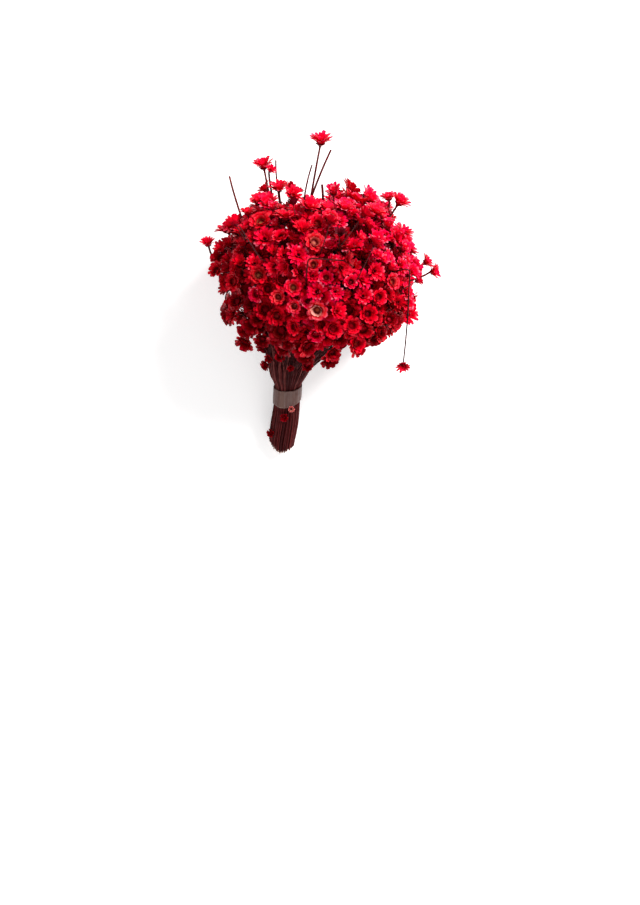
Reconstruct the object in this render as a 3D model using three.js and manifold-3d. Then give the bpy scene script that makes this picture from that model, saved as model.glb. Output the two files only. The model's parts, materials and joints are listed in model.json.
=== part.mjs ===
// A bunch of dried star flowers (glixia) lying on a surface: about three hundred small dyed blooms on thin
// stems, gathered below a domed head and held by a wrap of tape. Millimetres, +Z up, with +Y running from
// the cut ends towards the head. The bunch rests on the underside of its head and on its cut stems.
import * as THREE from "three";
import { mergeVertices } from "three/addons/utils/BufferGeometryUtils.js";
import Module from "manifold-3d";

const point = (x, y, z) => new THREE.Vector3(x, y, z);
const vector = (list) => point(...list);
const TURN = 2 * Math.PI;
const wasm = await Module();
wasm.setup();

// Driving sizes. The layout's origin is on the surface, straight below the middle of the head; the whole
// bunch is moved at the end so that the middle of its footprint is the origin.
const HEAD_CENTRE = point(0, 0, 66);
const TIE_CENTRE = point(-24, -94, 25);
const HEAD_HALF = { wide: 77, deep: 70, tall: 67 }; // over the blooms: across, through, and along the axis
const CORE_INSET = 16.5; // the solid middle of the head lies this far below the outer blooms
const ROOT_DEPTH = 5; // necks are rooted this deep in the core
const CORE_FLOOR = -45; // where the stems meet the core, along the axis from the head's centre
const CLEAR = 0.35; // gap between neighbouring pieces
const RED = 0xb3041c;
const MAROON = 0x4a1a1c;
const GREIGE = 0x7b675f;

// The head's own directions: AXIS from the tie to the head, ACROSS to the right and TOWARDS the viewer.
const AXIS = HEAD_CENTRE.clone().sub(TIE_CENTRE).normalize();
const ACROSS = point(1, 0, 0).addScaledVector(AXIS, -AXIS.x).normalize();
const TOWARDS = ACROSS.clone().cross(AXIS).normalize();

// A repeatable draw from 0 to 1, by the Park-Miller rule, which is exact in whole numbers.
function drawsFrom(seed) {
  let state = seed;
  return () => (state = (state * 48271) % 2147483647) / 2147483647;
}

// Solids and geometry

// A ring of points round a centre, counter-clockwise seen from the end that the direction points to.
function ringAt(centre, direction, count, radiusAt, reference = ACROSS) {
  const side = reference.clone().addScaledVector(direction, -reference.dot(direction)).normalize();
  const other = direction.clone().cross(side);
  return Array.from({ length: count }, (_, k) => {
    const angle = (TURN * k) / count;
    const radius = radiusAt(angle, k);
    const [along, beside] = typeof radius === "number" ? [radius, radius] : radius;
    return centre
      .clone()
      .addScaledVector(side, along * Math.cos(angle))
      .addScaledVector(other, beside * Math.sin(angle));
  });
}

// Triangles that join two rings, which may have different counts of points.
function bridge(faces, lower, lowerCount, upper, upperCount) {
  let i = 0;
  let j = 0;
  while (i < lowerCount || j < upperCount) {
    const a = lower + (i % lowerCount);
    const b = upper + (j % upperCount);
    if (j === upperCount || (i < lowerCount && (i + 1) / lowerCount <= (j + 1) / upperCount + 1e-9)) {
      faces.push(a, lower + ((i + 1) % lowerCount), b);
      i += 1;
    } else {
      faces.push(a, upper + ((j + 1) % upperCount), b);
      j += 1;
    }
  }
}

// A closed body through rings of points, each end closed by a fan to its own middle point.
function loft(rings, firstMiddle, lastMiddle) {
  const points = rings.flat();
  const faces = [];
  let start = 0;
  for (let r = 0; r + 1 < rings.length; r += 1) {
    bridge(faces, start, rings[r].length, start + rings[r].length, rings[r + 1].length);
    start += rings[r].length;
  }
  const first = points.push(firstMiddle ?? middleOf(rings[0])) - 1;
  const last = points.push(lastMiddle ?? middleOf(rings.at(-1))) - 1;
  rings[0].forEach((_, k) => faces.push((k + 1) % rings[0].length, k, first));
  rings.at(-1).forEach((_, k) => faces.push(start + k, start + ((k + 1) % rings.at(-1).length), last));
  return new THREE.BufferGeometry().setFromPoints(points).setIndex(faces);
}

function middleOf(ring) {
  return ring.reduce((sum, p) => sum.add(p), point(0, 0, 0)).divideScalar(ring.length);
}

function solidOf(geometry) {
  const merged = mergeVertices(geometry, 1e-4);
  return new wasm.Manifold(
    new wasm.Mesh({
      numProp: 3,
      vertProperties: merged.attributes.position.array,
      triVerts: new Uint32Array(merged.index.array),
    }),
  );
}

function geometryOf(solid) {
  const mesh = solid.getMesh();
  return new THREE.BufferGeometry()
    .setAttribute("position", new THREE.BufferAttribute(Float32Array.from(mesh.vertProperties), 3))
    .setIndex(new THREE.BufferAttribute(Uint32Array.from(mesh.triVerts), 1));
}

// A thin round body along a list of points. The end rings can be turned to face given directions.
function tube(path, radius, sides, firstFacing) {
  const rings = path.map((p, k) => {
    const before = path[Math.max(k - 1, 0)];
    const after = path[Math.min(k + 1, path.length - 1)];
    const direction = k === 0 && firstFacing ? firstFacing : after.clone().sub(before).normalize();
    return ringAt(p, direction, sides, () => radius, point(0.31, -0.2, 0.93));
  });
  return loft(rings);
}

// The head

// A direction out of the head: tilt is the angle from the axis, turn goes round it from ACROSS to TOWARDS.
function headDirection(tilt, turn) {
  return {
    across: Math.sin(tilt) * Math.cos(turn),
    towards: Math.sin(tilt) * Math.sin(turn),
    along: Math.cos(tilt),
  };
}

// Fuller and thinner places of the head: direction, gain as a share of the radius, and spread.
const FULLNESS = [
  { across: -0.47, towards: -0.2, along: 0.83, gain: -0.15, spread: 0.3 },
  { across: 0.05, towards: -0.25, along: 0.94, gain: -0.14, spread: 0.25 },
  { across: 0.52, towards: -0.2, along: 0.8, gain: 0.07, spread: 0.28 },
  { across: 0.99, towards: 0, along: 0.05, gain: 0.04, spread: 0.3 },
  { across: -0.99, towards: 0, along: 0.08, gain: 0.04, spread: 0.25 },
  { across: -0.94, towards: 0.1, along: -0.33, gain: -0.1, spread: 0.25 },
  { across: 0.82, towards: -0.1, along: 0.54, gain: -0.06, spread: 0.25 },
  { across: 0.94, towards: 0.1, along: -0.33, gain: -0.05, spread: 0.25 },
  { across: -0.7, towards: 0.22, along: -0.68, gain: 0.09, spread: 0.28 },
  { across: 0.7, towards: 0.2, along: -0.68, gain: -0.12, spread: 0.35 },
  { across: 0.2, towards: 0.4, along: -0.9, gain: 0.04, spread: 0.25 },
];

function fullnessAt(d) {
  return FULLNESS.reduce((sum, f) => {
    const away = (d.across - f.across) ** 2 + (d.towards - f.towards) ** 2 + (d.along - f.along) ** 2;
    return sum + f.gain * Math.exp(-away / (f.spread * f.spread));
  }, 1);
}

// The point of the head in a direction, a given depth below its outer surface.
function onHead(d, inset) {
  const fullness = fullnessAt(d);
  return HEAD_CENTRE.clone()
    .addScaledVector(ACROSS, (HEAD_HALF.wide * fullness - inset) * d.across)
    .addScaledVector(TOWARDS, (HEAD_HALF.deep * fullness - inset) * d.towards)
    .addScaledVector(AXIS, (HEAD_HALF.tall * fullness - inset) * d.along);
}

// The direction in which a point lies, and how far out it is as a share of the core's radius there.
function directionTo(p, inset = CORE_INSET) {
  const from = p.clone().sub(HEAD_CENTRE);
  const shares = (fullness) => ({
    across: from.dot(ACROSS) / (HEAD_HALF.wide * fullness - inset),
    towards: from.dot(TOWARDS) / (HEAD_HALF.deep * fullness - inset),
    along: from.dot(AXIS) / (HEAD_HALF.tall * fullness - inset),
  });
  const rough = unit(shares(1));
  return unit(shares(fullnessAt(rough)));
}

function unit({ across, towards, along }) {
  const share = Math.hypot(across, towards, along);
  return { across: across / share, towards: towards / share, along: along / share, share };
}

// Sizes of the stems and the wrap

// The bundle from the cut ends to the flare under the head: middle, then half widths across and through.
const BUNDLE = [
  { at: [-28.2, -133, 5.7], wide: 9.3, deep: 8.4 },
  { at: [-27.6, -126, 9.1], wide: 10.2, deep: 9.2 },
  { at: [-26, -114, 15.6], wide: 10.9, deep: 9.7 },
  { at: [-24.6, -101, 21.8], wide: 10.5, deep: 9.4 },
  { at: [-23.5, -84, 29.8], wide: 10.5, deep: 9.4 },
  { at: [-23.2, -77, 33], wide: 12.2, deep: 11.2 },
  { at: [-22.3, -69.5, 36.5], wide: 14.8, deep: 13.8 },
  { at: [-20.5, -63, 39.4], wide: 18, deep: 17 },
  { at: [-18, -56.5, 42.3], wide: 22.5, deep: 21.5 },
  { at: [-15, -50, 45.2], wide: 26.5, deep: 25 },
];
const FLARE_TOP = { wide: 27.5, deep: 26 };
const RIBS = 18;
const RIB_DEPTH = 0.05; // as a share of the half width
const CUT = { slant: 2.1, middle: 2.4, ragged: 1.1, notches: 5 }; // how unevenly the stems are cut

// The wrap: a sleeve of tape, askew on the stems, whose outer end overlaps on the viewer's side.
const WRAP = { half: 5.7, up: 3.2, slant: 0.13, wide: 10.9, deep: 9.8, thick: 0.65 };
const FLAP = { thick: 0.4, from: 4, to: 9 };
const WRAP_SIDES = 28;

// Stray stems: tip, the point that the bend leans to and the point inside the head that the stem aims at.
// A stray with a radius carries a bloom of that radius, which looks along facing.
const STRAYS = {
  crown: { tip: [1.5, 87, 99.5], bend: [-4, 61, 92], aim: [-13, 7, 72], radius: 8, facing: [0.12, 0.82, 0.56] },
  crown_bare: { tip: [9.3, 84, 104], bend: [-5, 55, 98], aim: [-16, 19, 78], thick: 0.5 },
  crown_thin: { tip: [-4.3, 75, 92], bend: [-11, 57, 90], aim: [-14, 17, 78], thick: 0.4 },
  top_left: { tip: [-39, 72, 84], bend: [-36.5, 58, 82], aim: [-28, 20, 70], radius: 7.8, facing: [-0.12, 0.8, 0.58] },
  top_left_low: { tip: [-35.4, 69.4, 94.7], bend: [-35, 57, 89], aim: [-26, 19, 78], radius: 4.4, facing: [0.5, 0.5, 0.7] },
  top_left_bare: { tip: [-31, 81, 74], bend: [-31.6, 63, 74], aim: [-23, 20, 64], thick: 0.4 },
  top_middle: { tip: [-28, 55, 92], bend: [-27.5, 44, 90], aim: [-20, 9, 78], radius: 7.4, facing: [-0.05, 0.86, 0.5] },
  top_middle_low: { tip: [-19, 51, 96], bend: [-20, 43, 94], aim: [-15, 8, 80], radius: 6.6, facing: [0.35, 0.5, 0.78] },
  left_bare: { tip: [-64, 67, 92], bend: [-59, 44, 90], aim: [-40, -5, 76], thick: 0.5 },
  left: { tip: [-81, 18, 66], bend: [-79, 1, 56], aim: [-36, -13, 54], radius: 6.4, facing: [-0.15, 0.8, 0.58] },
  left_thin: { tip: [-67, -26.5, 46], bend: [-79.5, -14, 48], aim: [-42, 8, 60], thick: 0.4 },
  top_right: { tip: [57.5, 46.5, 88], bend: [49.5, 33, 86], aim: [25, 7, 74], radius: 7, facing: [0.52, 0.72, 0.46] },
  top_right_low: { tip: [52.5, 50.5, 76], bend: [52, 37, 76], aim: [28, 7, 66], radius: 6.2, facing: [-0.15, 0.88, 0.44] },
  short_bare: { tip: [2.8, 60, 100], bend: [4.4, 49, 97], aim: [3, 13, 84], thick: 0.6 },
  right: { tip: [82, -1, 74], bend: [70, -9, 74], aim: [31, -14, 68], radius: 6.4, facing: [0.9, 0.15, 0.4] },
  right_high: { tip: [78, 5.5, 64.5], bend: [67, 3, 66], aim: [28, -3, 66], radius: 6.6, facing: [0.8, 0.55, 0.25] },
  right_low: { tip: [64, -33, 70], bend: [56, -35, 70], aim: [25, -21, 66], radius: 6.8, facing: [0.6, 0.2, 0.77] },
};

// Strays that are kinked: the broken one hangs beside the head with its bloom towards the cut ends, and the
// other two lie over the front of the head.
const KINKED = {
  broken: {
    path: [[62.7, -67, 84], [63.4, -55, 94], [64.3, -34, 108], [64.6, -13, 117], [64.4, -2.5, 119], [59, -2, 117]],
    aim: [35, -5, 74],
    radius: 4.8,
    facing: [-0.1, -0.86, -0.5],
  },
  left_front: { path: [[-55, 28, 119], [-47, 15.5, 131], [-39.5, 4, 138]], aim: [-32, 5, 100], thick: 0.4 },
  bent: {
    path: [[17.5, 2.5, 142], [4, 3.4, 143], [-4.4, 4, 143], [-6.8, 2, 142.5], [-7.6, -4, 141]],
    aim: [-9, -20, 112],
    radius: 6,
    facing: [0.93, 0.1, 0.35],
  },
};

const STRAY_THICK = 0.5; // half the width of a stray stem that carries a bloom
const STRAY_SIDES = 4;
const STRAY_STEPS = 6;
const ROOTED = 0.88; // a stray stem ends this far out in the core, as a share of its radius

// The stem's points from its tip to its root in the core.
function strayPath(tip, bend, aim) {
  const curve = new THREE.QuadraticBezierCurve3(tip, bend, aim);
  let end = 0;
  while (end < 1 && directionTo(curve.getPoint(end)).share > ROOTED) end += 0.01;
  return Array.from({ length: STRAY_STEPS + 1 }, (_, k) => curve.getPoint((end * k) / STRAY_STEPS));
}

function kinkedPath({ path, aim }) {
  const points = path.map(vector);
  const last = points.at(-1);
  const inward = vector(aim).sub(last).normalize();
  const root = last.clone();
  while (directionTo(root).share > ROOTED) root.addScaledVector(inward, 0.5);
  return [...points, last.clone().lerp(root, 0.5), root];
}

const strays = Object.entries(STRAYS).map(([name, s]) => ({
  name,
  path: strayPath(vector(s.tip), vector(s.bend), vector(s.aim)),
  thick: s.thick ?? STRAY_THICK,
  radius: s.radius,
  facing: s.facing && vector(s.facing).normalize(),
}));
for (const [name, s] of Object.entries(KINKED)) {
  const facing = s.facing && vector(s.facing).normalize();
  strays.push({ name, path: kinkedPath(s), thick: s.thick ?? STRAY_THICK, radius: s.radius, facing });
}

// Blooms

const CUP_SHARE = 0.66; // a bloom's depth from rim to base, as a share of its radius
const NOTCH = 0.74; // how far out the notches between petals are, as a share of the radius

// Small blooms caught among the stems below the head: a point near the base, the radius and the facing. One
// sits on the wrap and the others on the stems.
const CAUGHT = {
  wrap_edge: { base: [-20.6, -103, 33], radius: 3.2, facing: [0.25, -0.3, 0.92] },
  below_wrap: { base: [-26, -109, 29], radius: 3.7, facing: [-0.15, -0.35, 0.92] },
  flare_left: { base: [-39, -68.5, 38], radius: 5.2, facing: [-0.9, -0.3, 0.25], sink: 0.5 },
  flare_side: { base: [-38, -65, 52], radius: 4.4, facing: [-0.6, -0.5, 0.62], sink: 0.6 },
  flare_upper: { base: [-29.5, -64, 62], radius: 4.4, facing: [-0.25, -0.5, 0.83], sink: 0.3 },
  flare_front: { base: [-20.5, -70, 58], radius: 4.8, facing: [-0.05, -0.55, 0.83], sink: 0.5 },
  flare_right: { base: [-9.5, -67.5, 57], radius: 4.6, facing: [0.3, -0.5, 0.8], sink: 0.5 },
  low_left: { base: [-36, -122, 18], radius: 3.8, facing: [-0.75, -0.25, 0.6] },
};
const BASE_HALF = 0.8; // half the width of the small flat base of a stray or caught bloom

// How far out a point lies from the bundle's middle line, as a share of the bundle's half width there.
function shareOfBundle(p, extra) {
  const line = new THREE.Line3();
  return BUNDLE.slice(1).reduce((least, upper, k) => {
    const lower = BUNDLE[k];
    line.set(vector(lower.at), vector(upper.at));
    const t = line.closestPointToPointParameter(p, false);
    if (t < -0.03 || t > 1.03) return least;
    const from = p.clone().sub(line.at(t, point(0, 0, 0)));
    const wide = THREE.MathUtils.lerp(lower.wide, upper.wide, t) + extra;
    const deep = THREE.MathUtils.lerp(lower.deep, upper.deep, t) + extra;
    const across = from.dot(ACROSS);
    return Math.min(least, Math.hypot(across / wide, Math.sqrt(from.lengthSq() - across * across) / deep));
  }, Infinity);
}

const caught = Object.entries(CAUGHT).map(([name, c]) => {
  const facing = vector(c.facing).normalize();
  const extra = CLEAR / 2 - (c.sink ?? 0);
  const base = vector(c.base).addScaledVector(facing, -4);
  const touches = () => ringAt(base, facing, 5, () => BASE_HALF).some((p) => shareOfBundle(p, extra) < 1);
  while (touches()) base.addScaledVector(facing, 0.1);
  return { name, facing, radius: c.radius, centre: base.addScaledVector(facing, CUP_SHARE * c.radius) };
});

function rimCentre(stray) {
  return stray.path[0].clone().addScaledVector(stray.facing, CLEAR + CUP_SHARE * stray.radius);
}

// Blooms that were picked out by eye, as seen from VIEWPOINT: across, up and radius, in the level plane
// through the head's centre.
const VIEWPOINT = point(0, -73, 1113);
const SEEN = {
  rim_left: [
    [-40, 62, 5.2], [-44, 53, 5.8], [-33.5, 48, 4.8], [-52, 45, 5], [-64, 34.5, 7], [-72, 17.5, 7], [-76.5, 2, 6.2],
    [-64.5, -7, 6.2], [-61.5, -21, 6], [-64.5, -32, 6], [-55.5, -54, 7],
  ],
  rim_below: [
    [12, -61, 7], [30, -54, 6.6], [48, -45, 6], [54.5, -34.5, 5.6],
  ],
  rim_right: [
    [60, -22, 5.6], [67, -14.5, 5.8], [63, 4.5, 6.2], [64, 17.5, 6.2], [64, 31.5, 6.6], [52.5, 35.5, 6.2],
  ],
  rim_above: [[43.5, 46, 6.8], [37, 58, 6.6], [25, 62, 7], [11.5, 60, 6.6], [20, 48.5, 6], [-6, 49.5, 7], [-24, 43, 6.6]],
  upper: [
    [-43, 38.5, 6.6], [-56, 22, 6], [-45, 20.5, 6.2], [-33, 15, 5.4], [-28, 27.5, 5.8], [-11, 32.5, 6.6],
    [-2, 22.5, 6.2], [9.8, 39.8, 5.8], [32, 38, 5.8], [43.5, 25.5, 6.2], [44, 13, 5], [10.5, 9, 6.2],
  ],
  middle: [
    [-45, -2, 6.6], [-25, 4, 6.6], [-3.5, 6, 5.6], [6, -4, 5.2], [43, 0.5, 6.2], [56.5, -7, 6], [25, -7, 5.4],
    [-18.5, -11.5, 6], [-30, -18.5, 5.4], [-47, -17, 5.8], [-1.5, -14.5, 6.4], [13.5, -15, 5.8],
  ],
  lower: [
    [-18, -26, 5.2], [-1, -29, 7.4], [15, -29, 6.6], [46.5, -18.5, 6], [38, -31, 7.2], [26, -40, 6.2],
    [12, -42.5, 6], [-1.5, -48, 5.6], [-19, -41, 5.8], [-31, -33.5, 6.6], [-45, -33.5, 6.8], [-42, -51, 6],
    [-23, -55, 6],
  ],
};

function seenAt(x, y, z) {
  const nearness = (VIEWPOINT.z - z) / (VIEWPOINT.z - HEAD_CENTRE.z);
  return VIEWPOINT.clone().lerp(point(x, y, HEAD_CENTRE.z), nearness);
}

// The place on the front of the head, or beside it, that is seen at a position.
function onFront([x, y]) {
  let best = { share: Infinity };
  for (let height = 150; height > 30 && best.share > 1; height -= 1) {
    const p = seenAt(x, y, height);
    const { share } = directionTo(p, 0);
    if (share < best.share) best = { share, p };
  }
  return best.p;
}

// Where the other blooms of the head go. Big ones are drawn first and small ones fill in. The outer layer stands
// on long necks; the lower layer fills the gaps. A bloom that would touch a neighbour is dropped.
const PLACING = {
  seed: 20,
  outer: { draws: 5200, inset: 2.2, inset_spread: 4, radius: [7.7, 5.9], lowest_tilt: 2.5, most: 196 },
  lower: { draws: 5200, inset: 9.5, inset_spread: 1.5, radius: [6.9, 5.2], lowest_tilt: 2.34, most: 108 },
};
const NECK_HALF = 0.75;
const LAYER_OVERLAP = 0.84; // blooms of different layers may lie this close, as a share of touching
const FACING_JITTER = 0.34;
const UPWARD = 0.42; // how far blooms turn from straight out towards the axis
const PRESSED = 0.9; // blooms under the head are pressed this far into the surface and cut flat

function distanceToPath(p, path) {
  const line = new THREE.Line3();
  const near = point(0, 0, 0);
  return path.slice(1).reduce((least, end, k) => {
    line.set(path[k], end).closestPointToPoint(p, true, near);
    return Math.min(least, near.distanceTo(p));
  }, Infinity);
}

// The head is made in slices across the axis, and every bloom roots in one of them. A root too near the
// slice's edge slides along the core's surface.
const TIER_EDGES = [CORE_FLOOR, -23, -3, 17, 35];
const NECK_ROOM = [2, 3.5, 5, 6.5, 8]; // a root keeps one of these distances from its slice's edges
const EDGE_ROOM = 1.3; // and its neck leaves the core this far from them

function rootUnder(base) {
  const d = directionTo(base);
  const tall = HEAD_HALF.tall * fullnessAt(d) - CORE_INSET - ROOT_DEPTH;
  const tier = TIER_EDGES.findLastIndex((edge) => edge < tall * d.along);
  for (const room of NECK_ROOM) {
    const low = TIER_EDGES[tier] + room;
    const high = (TIER_EDGES[tier + 1] ?? Infinity) - room;
    const along = Math.min(Math.max(tall * d.along, low) / tall, high / tall, 1);
    const rest = Math.sqrt((1 - along * along) / Math.max(1 - d.along * d.along, 1e-6));
    const moved = { across: d.across * rest, towards: d.towards * rest, along };
    const root = onHead(moved, CORE_INSET + ROOT_DEPTH);
    if (staysInSlice(root, base, tier)) return { root, tier };
  }
  return {};
}

function staysInSlice(root, base, tier) {
  return [0, 0.15, 0.3, 0.45, 0.6, 0.8, 1].every((share) => {
    const p = root.clone().lerp(base, share);
    if (directionTo(p).share > 1.03) return true;
    const along = p.sub(HEAD_CENTRE).dot(AXIS);
    return along > TIER_EDGES[tier] + EDGE_ROOM && along < (TIER_EDGES[tier + 1] ?? Infinity) - EDGE_ROOM;
  });
}

function placeBlooms() {
  const draw = drawsFrom(PLACING.seed);
  const placed = [];
  for (const seen of Object.values(SEEN).flat()) {
    const centre = onFront(seen);
    const jitter = [draw() - 0.5, draw() - 0.5, draw() - 0.5];
    const bloom = bloomAt(directionTo(centre, 0), centre, jitter, seen[2], "outer");
    if (isClear(bloom, placed)) placed.push(bloom);
  }
  for (const [layer, rule] of [["outer", PLACING.outer], ["lower", PLACING.lower]]) {
    let count = 0;
    for (let k = 0; k < rule.draws; k += 1) {
      const [big, small] = rule.radius;
      const lowest = Math.cos(rule.lowest_tilt);
      const tilt = Math.acos(lowest + (1 - lowest) * draw());
      const turn = TURN * draw();
      const inset = rule.inset + rule.inset_spread * (draw() - 0.5);
      const jitter = [draw() - 0.5, draw() - 0.5, draw() - 0.5];
      const radius = big + ((small - big) * k) / rule.draws;
      if (count < rule.most) {
        const d = headDirection(tilt, turn);
        const bloom = bloomAt(d, onHead(d, inset), jitter, radius, layer);
        if (isClear(bloom, placed)) {
          placed.push(bloom);
          count += 1;
        }
      }
    }
  }
  return placed;
}

function bloomAt(d, centre, jitter, radius, layer) {
  const facing = point(0, 0, 0)
    .addScaledVector(ACROSS, d.across / HEAD_HALF.wide)
    .addScaledVector(TOWARDS, d.towards / HEAD_HALF.deep)
    .addScaledVector(AXIS, d.along / HEAD_HALF.tall)
    .normalize()
    .addScaledVector(AXIS, UPWARD)
    .addScaledVector(ACROSS, 2 * FACING_JITTER * jitter[0])
    .addScaledVector(TOWARDS, 2 * FACING_JITTER * jitter[1])
    .addScaledVector(AXIS, 2 * FACING_JITTER * jitter[2])
    .normalize();
  const lowest = centre.z - radius * Math.sqrt(1 - facing.z * facing.z);
  if (lowest < -PRESSED) centre.z -= lowest + PRESSED;
  const base = centre.clone().addScaledVector(facing, -CUP_SHARE * radius);
  return { centre, facing, radius, base, layer, ...rootUnder(base) };
}

function isClear(bloom, placed) {
  if (!bloom.root) return false;
  for (const other of placed) {
    const touching = bloom.radius + other.radius;
    const near = bloom.layer === other.layer ? touching + CLEAR : LAYER_OVERLAP * touching;
    if (bloom.centre.distanceTo(other.centre) < near) return false;
    if (distanceToPath(bloom.centre, [other.base, other.root]) < bloom.radius + NECK_HALF + CLEAR) return false;
    if (distanceToPath(other.centre, [bloom.base, bloom.root]) < other.radius + NECK_HALF + CLEAR) return false;
  }
  for (const stray of strays) {
    if (distanceToPath(bloom.centre, stray.path) < bloom.radius + stray.thick + CLEAR) return false;
    for (const share of [0, 0.2, 0.4, 0.6, 0.8, 1]) {
      const p = bloom.root.clone().lerp(bloom.base, share);
      if (distanceToPath(p, stray.path) < 1.7 * NECK_HALF + stray.thick + CLEAR) return false;
    }
    if (stray.radius && rimCentre(stray).distanceTo(bloom.centre) < stray.radius + bloom.radius + CLEAR) return false;
  }
  for (const other of caught) {
    if (other.centre.distanceTo(bloom.centre) < other.radius + bloom.radius + CLEAR) return false;
    if (distanceToPath(other.centre, [bloom.base, bloom.root]) < other.radius + NECK_HALF + CLEAR) return false;
  }
  return true;
}

// A bloom as one body: a star-shaped cup of pointed petals with a sunk middle. A neck joins it to the
// head's core; a stray bloom has a small flat base and an inner whorl instead.
function bloomSolid({ centre, facing, radius, root }, petals, draw) {
  const spin = ringAt(point(0, 0, 0), facing, 8, () => 1)[Math.floor(8 * draw())];
  const tipLength = Array.from({ length: petals }, () => 0.9 + 0.12 * draw());
  const rimPoint = (angle, k) => radius * (k % 2 ? NOTCH : tipLength[k / 2]);
  const up = (share) => centre.clone().addScaledVector(facing, share * radius);
  const rim = ringAt(centre, facing, 2 * petals, rimPoint, spin);
  rim.forEach((p, k) => k % 2 && p.addScaledVector(facing, -0.1 * radius));
  const base = up(-CUP_SHARE);
  if (root) {
    const outward = base.clone().sub(root).normalize();
    const neck = [ringAt(root, outward, 3, () => NECK_HALF, spin), ringAt(base, facing, 3, () => 1.5 * NECK_HALF, spin)];
    return solidOf(loft([...neck, rim], undefined, up(-0.34)));
  }
  return solidOf(
    loft(
      [
        ringAt(base, facing, 5, () => BASE_HALF, spin),
        ringAt(up(-0.42), facing, petals, () => 0.36 * radius, spin),
        rim,
        ringAt(up(-0.1), facing, petals, () => 0.36 * radius, spin),
      ],
      undefined,
      up(-0.34),
    ),
  );
}

// Tiers of the head: slices of the core across the axis, each with the blooms that root in it.

const HEAD_PETALS = { outer: 6, lower: 5 };
const CORE_SIDES = 18;
const CORE_RINGS = [0.24, 0.56, 0.88, 1.2, 1.52, 1.84, 2.16, 2.5, 2.8];

function coreSolid() {
  const rings = [...CORE_RINGS].reverse().map((tilt) =>
    Array.from({ length: CORE_SIDES }, (_, k) => onHead(headDirection(tilt, (-TURN * k) / CORE_SIDES), CORE_INSET)),
  );
  const pole = (along) => onHead({ across: 0, towards: 0, along }, CORE_INSET);
  const made = solidOf(loft(rings, pole(-1), pole(1)));
  return made.volume() < 0 ? solidOf(loft(rings.map((r) => [...r].reverse()), pole(-1), pole(1))) : made;
}

function slice(solid, from, to) {
  const offset = HEAD_CENTRE.dot(AXIS);
  const axis = AXIS.toArray();
  const upper = solid.trimByPlane(axis, offset + from + CLEAR / 2);
  const back = AXIS.clone().negate().toArray();
  return to === undefined ? upper : upper.trimByPlane(back, -(offset + to - CLEAR / 2));
}

function headTiers(holes) {
  const draw = drawsFrom(77);
  const groups = TIER_EDGES.map(() => []);
  placeBlooms().forEach((bloom) => groups[bloom.tier].push(bloom));
  const core = coreSolid();
  return groups.map((blooms, k) => {
    const grown = blooms.map((bloom) => bloomSolid(bloom, HEAD_PETALS[bloom.layer], draw));
    const drilled = wasm.Manifold.difference([slice(core, TIER_EDGES[k], TIER_EDGES[k + 1]), ...holes]);
    return wasm.Manifold.union([drilled, ...grown]);
  });
}

// Stems and wrap

function bundleSolid() {
  const middles = BUNDLE.map((station) => vector(station.at));
  const top = HEAD_CENTRE.clone().addScaledVector(AXIS, CORE_FLOOR - CLEAR / 2);
  middles.push(top);
  const sizes = [...BUNDLE, FLARE_TOP];
  const rings = middles.map((middle, k) => {
    const before = middles[Math.max(k - 1, 0)];
    const after = middles[Math.min(k + 1, middles.length - 1)];
    const direction = middle === top ? AXIS : after.clone().sub(before).normalize();
    const { wide, deep } = sizes[k];
    return ringAt(middle, direction, 2 * RIBS, (_, n) => {
      const rib = 1 - RIB_DEPTH * (n % 2);
      return [wide * rib, deep * rib];
    });
  });
  const back = middles[0].clone().sub(middles[1]).normalize();
  rings[0].forEach((p, n) => {
    const angle = (TURN * n) / rings[0].length;
    const lift = CUT.slant * (1 - Math.cos(angle)) + CUT.ragged * Math.sin(CUT.notches * angle);
    p.addScaledVector(back, -lift);
  });
  return solidOf(loft(rings, middles[0].clone().addScaledVector(back, CUT.middle)));
}

function wrapSolid() {
  const stems = vector(BUNDLE[4].at).sub(vector(BUNDLE[3].at)).normalize();
  const ring = (along, thick) => {
    const centre = TIE_CENTRE.clone().addScaledVector(stems, along + WRAP.up);
    const round = ringAt(centre, stems, WRAP_SIDES, (_, k) => {
      const flap = thick && k >= FLAP.from && k <= FLAP.to ? FLAP.thick : 0;
      return [WRAP.wide + thick + flap, WRAP.deep + thick + flap];
    });
    return round.map((p) => p.addScaledVector(stems, WRAP.slant * p.clone().sub(centre).dot(ACROSS)));
  };
  const loops = [ring(-WRAP.half, WRAP.thick), ring(WRAP.half, WRAP.thick), ring(WRAP.half, 0), ring(-WRAP.half, 0)];
  const faces = [];
  loops.forEach((_, k) =>
    bridge(faces, k * WRAP_SIDES, WRAP_SIDES, ((k + 1) % loops.length) * WRAP_SIDES, WRAP_SIDES),
  );
  return solidOf(new THREE.BufferGeometry().setFromPoints(loops.flat()).setIndex(faces));
}

// The bunch

function finish(name, solid, colour) {
  const lying = solid.trimByPlane([0, 0, 1], 0);
  const material = new THREE.MeshStandardMaterial({ color: colour, roughness: 0.6, metalness: 0 });
  const mesh = new THREE.Mesh(geometryOf(lying), material);
  mesh.name = name;
  return mesh;
}

const bunch = new THREE.Group();
const holes = strays.map((s) => {
  const end = s.path.at(-1);
  const inward = end.clone().sub(s.path.at(-2)).normalize();
  return solidOf(tube([...s.path.slice(2), end.clone().addScaledVector(inward, CLEAR)], s.thick + CLEAR, STRAY_SIDES));
});
headTiers(holes).forEach((solid, k) => bunch.add(finish(`bloom_tier_${k + 1}`, solid, RED)));
bunch.add(finish("stem_bundle", bundleSolid(), MAROON));
bunch.add(finish("tie_wrap", wrapSolid(), GREIGE));

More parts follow.
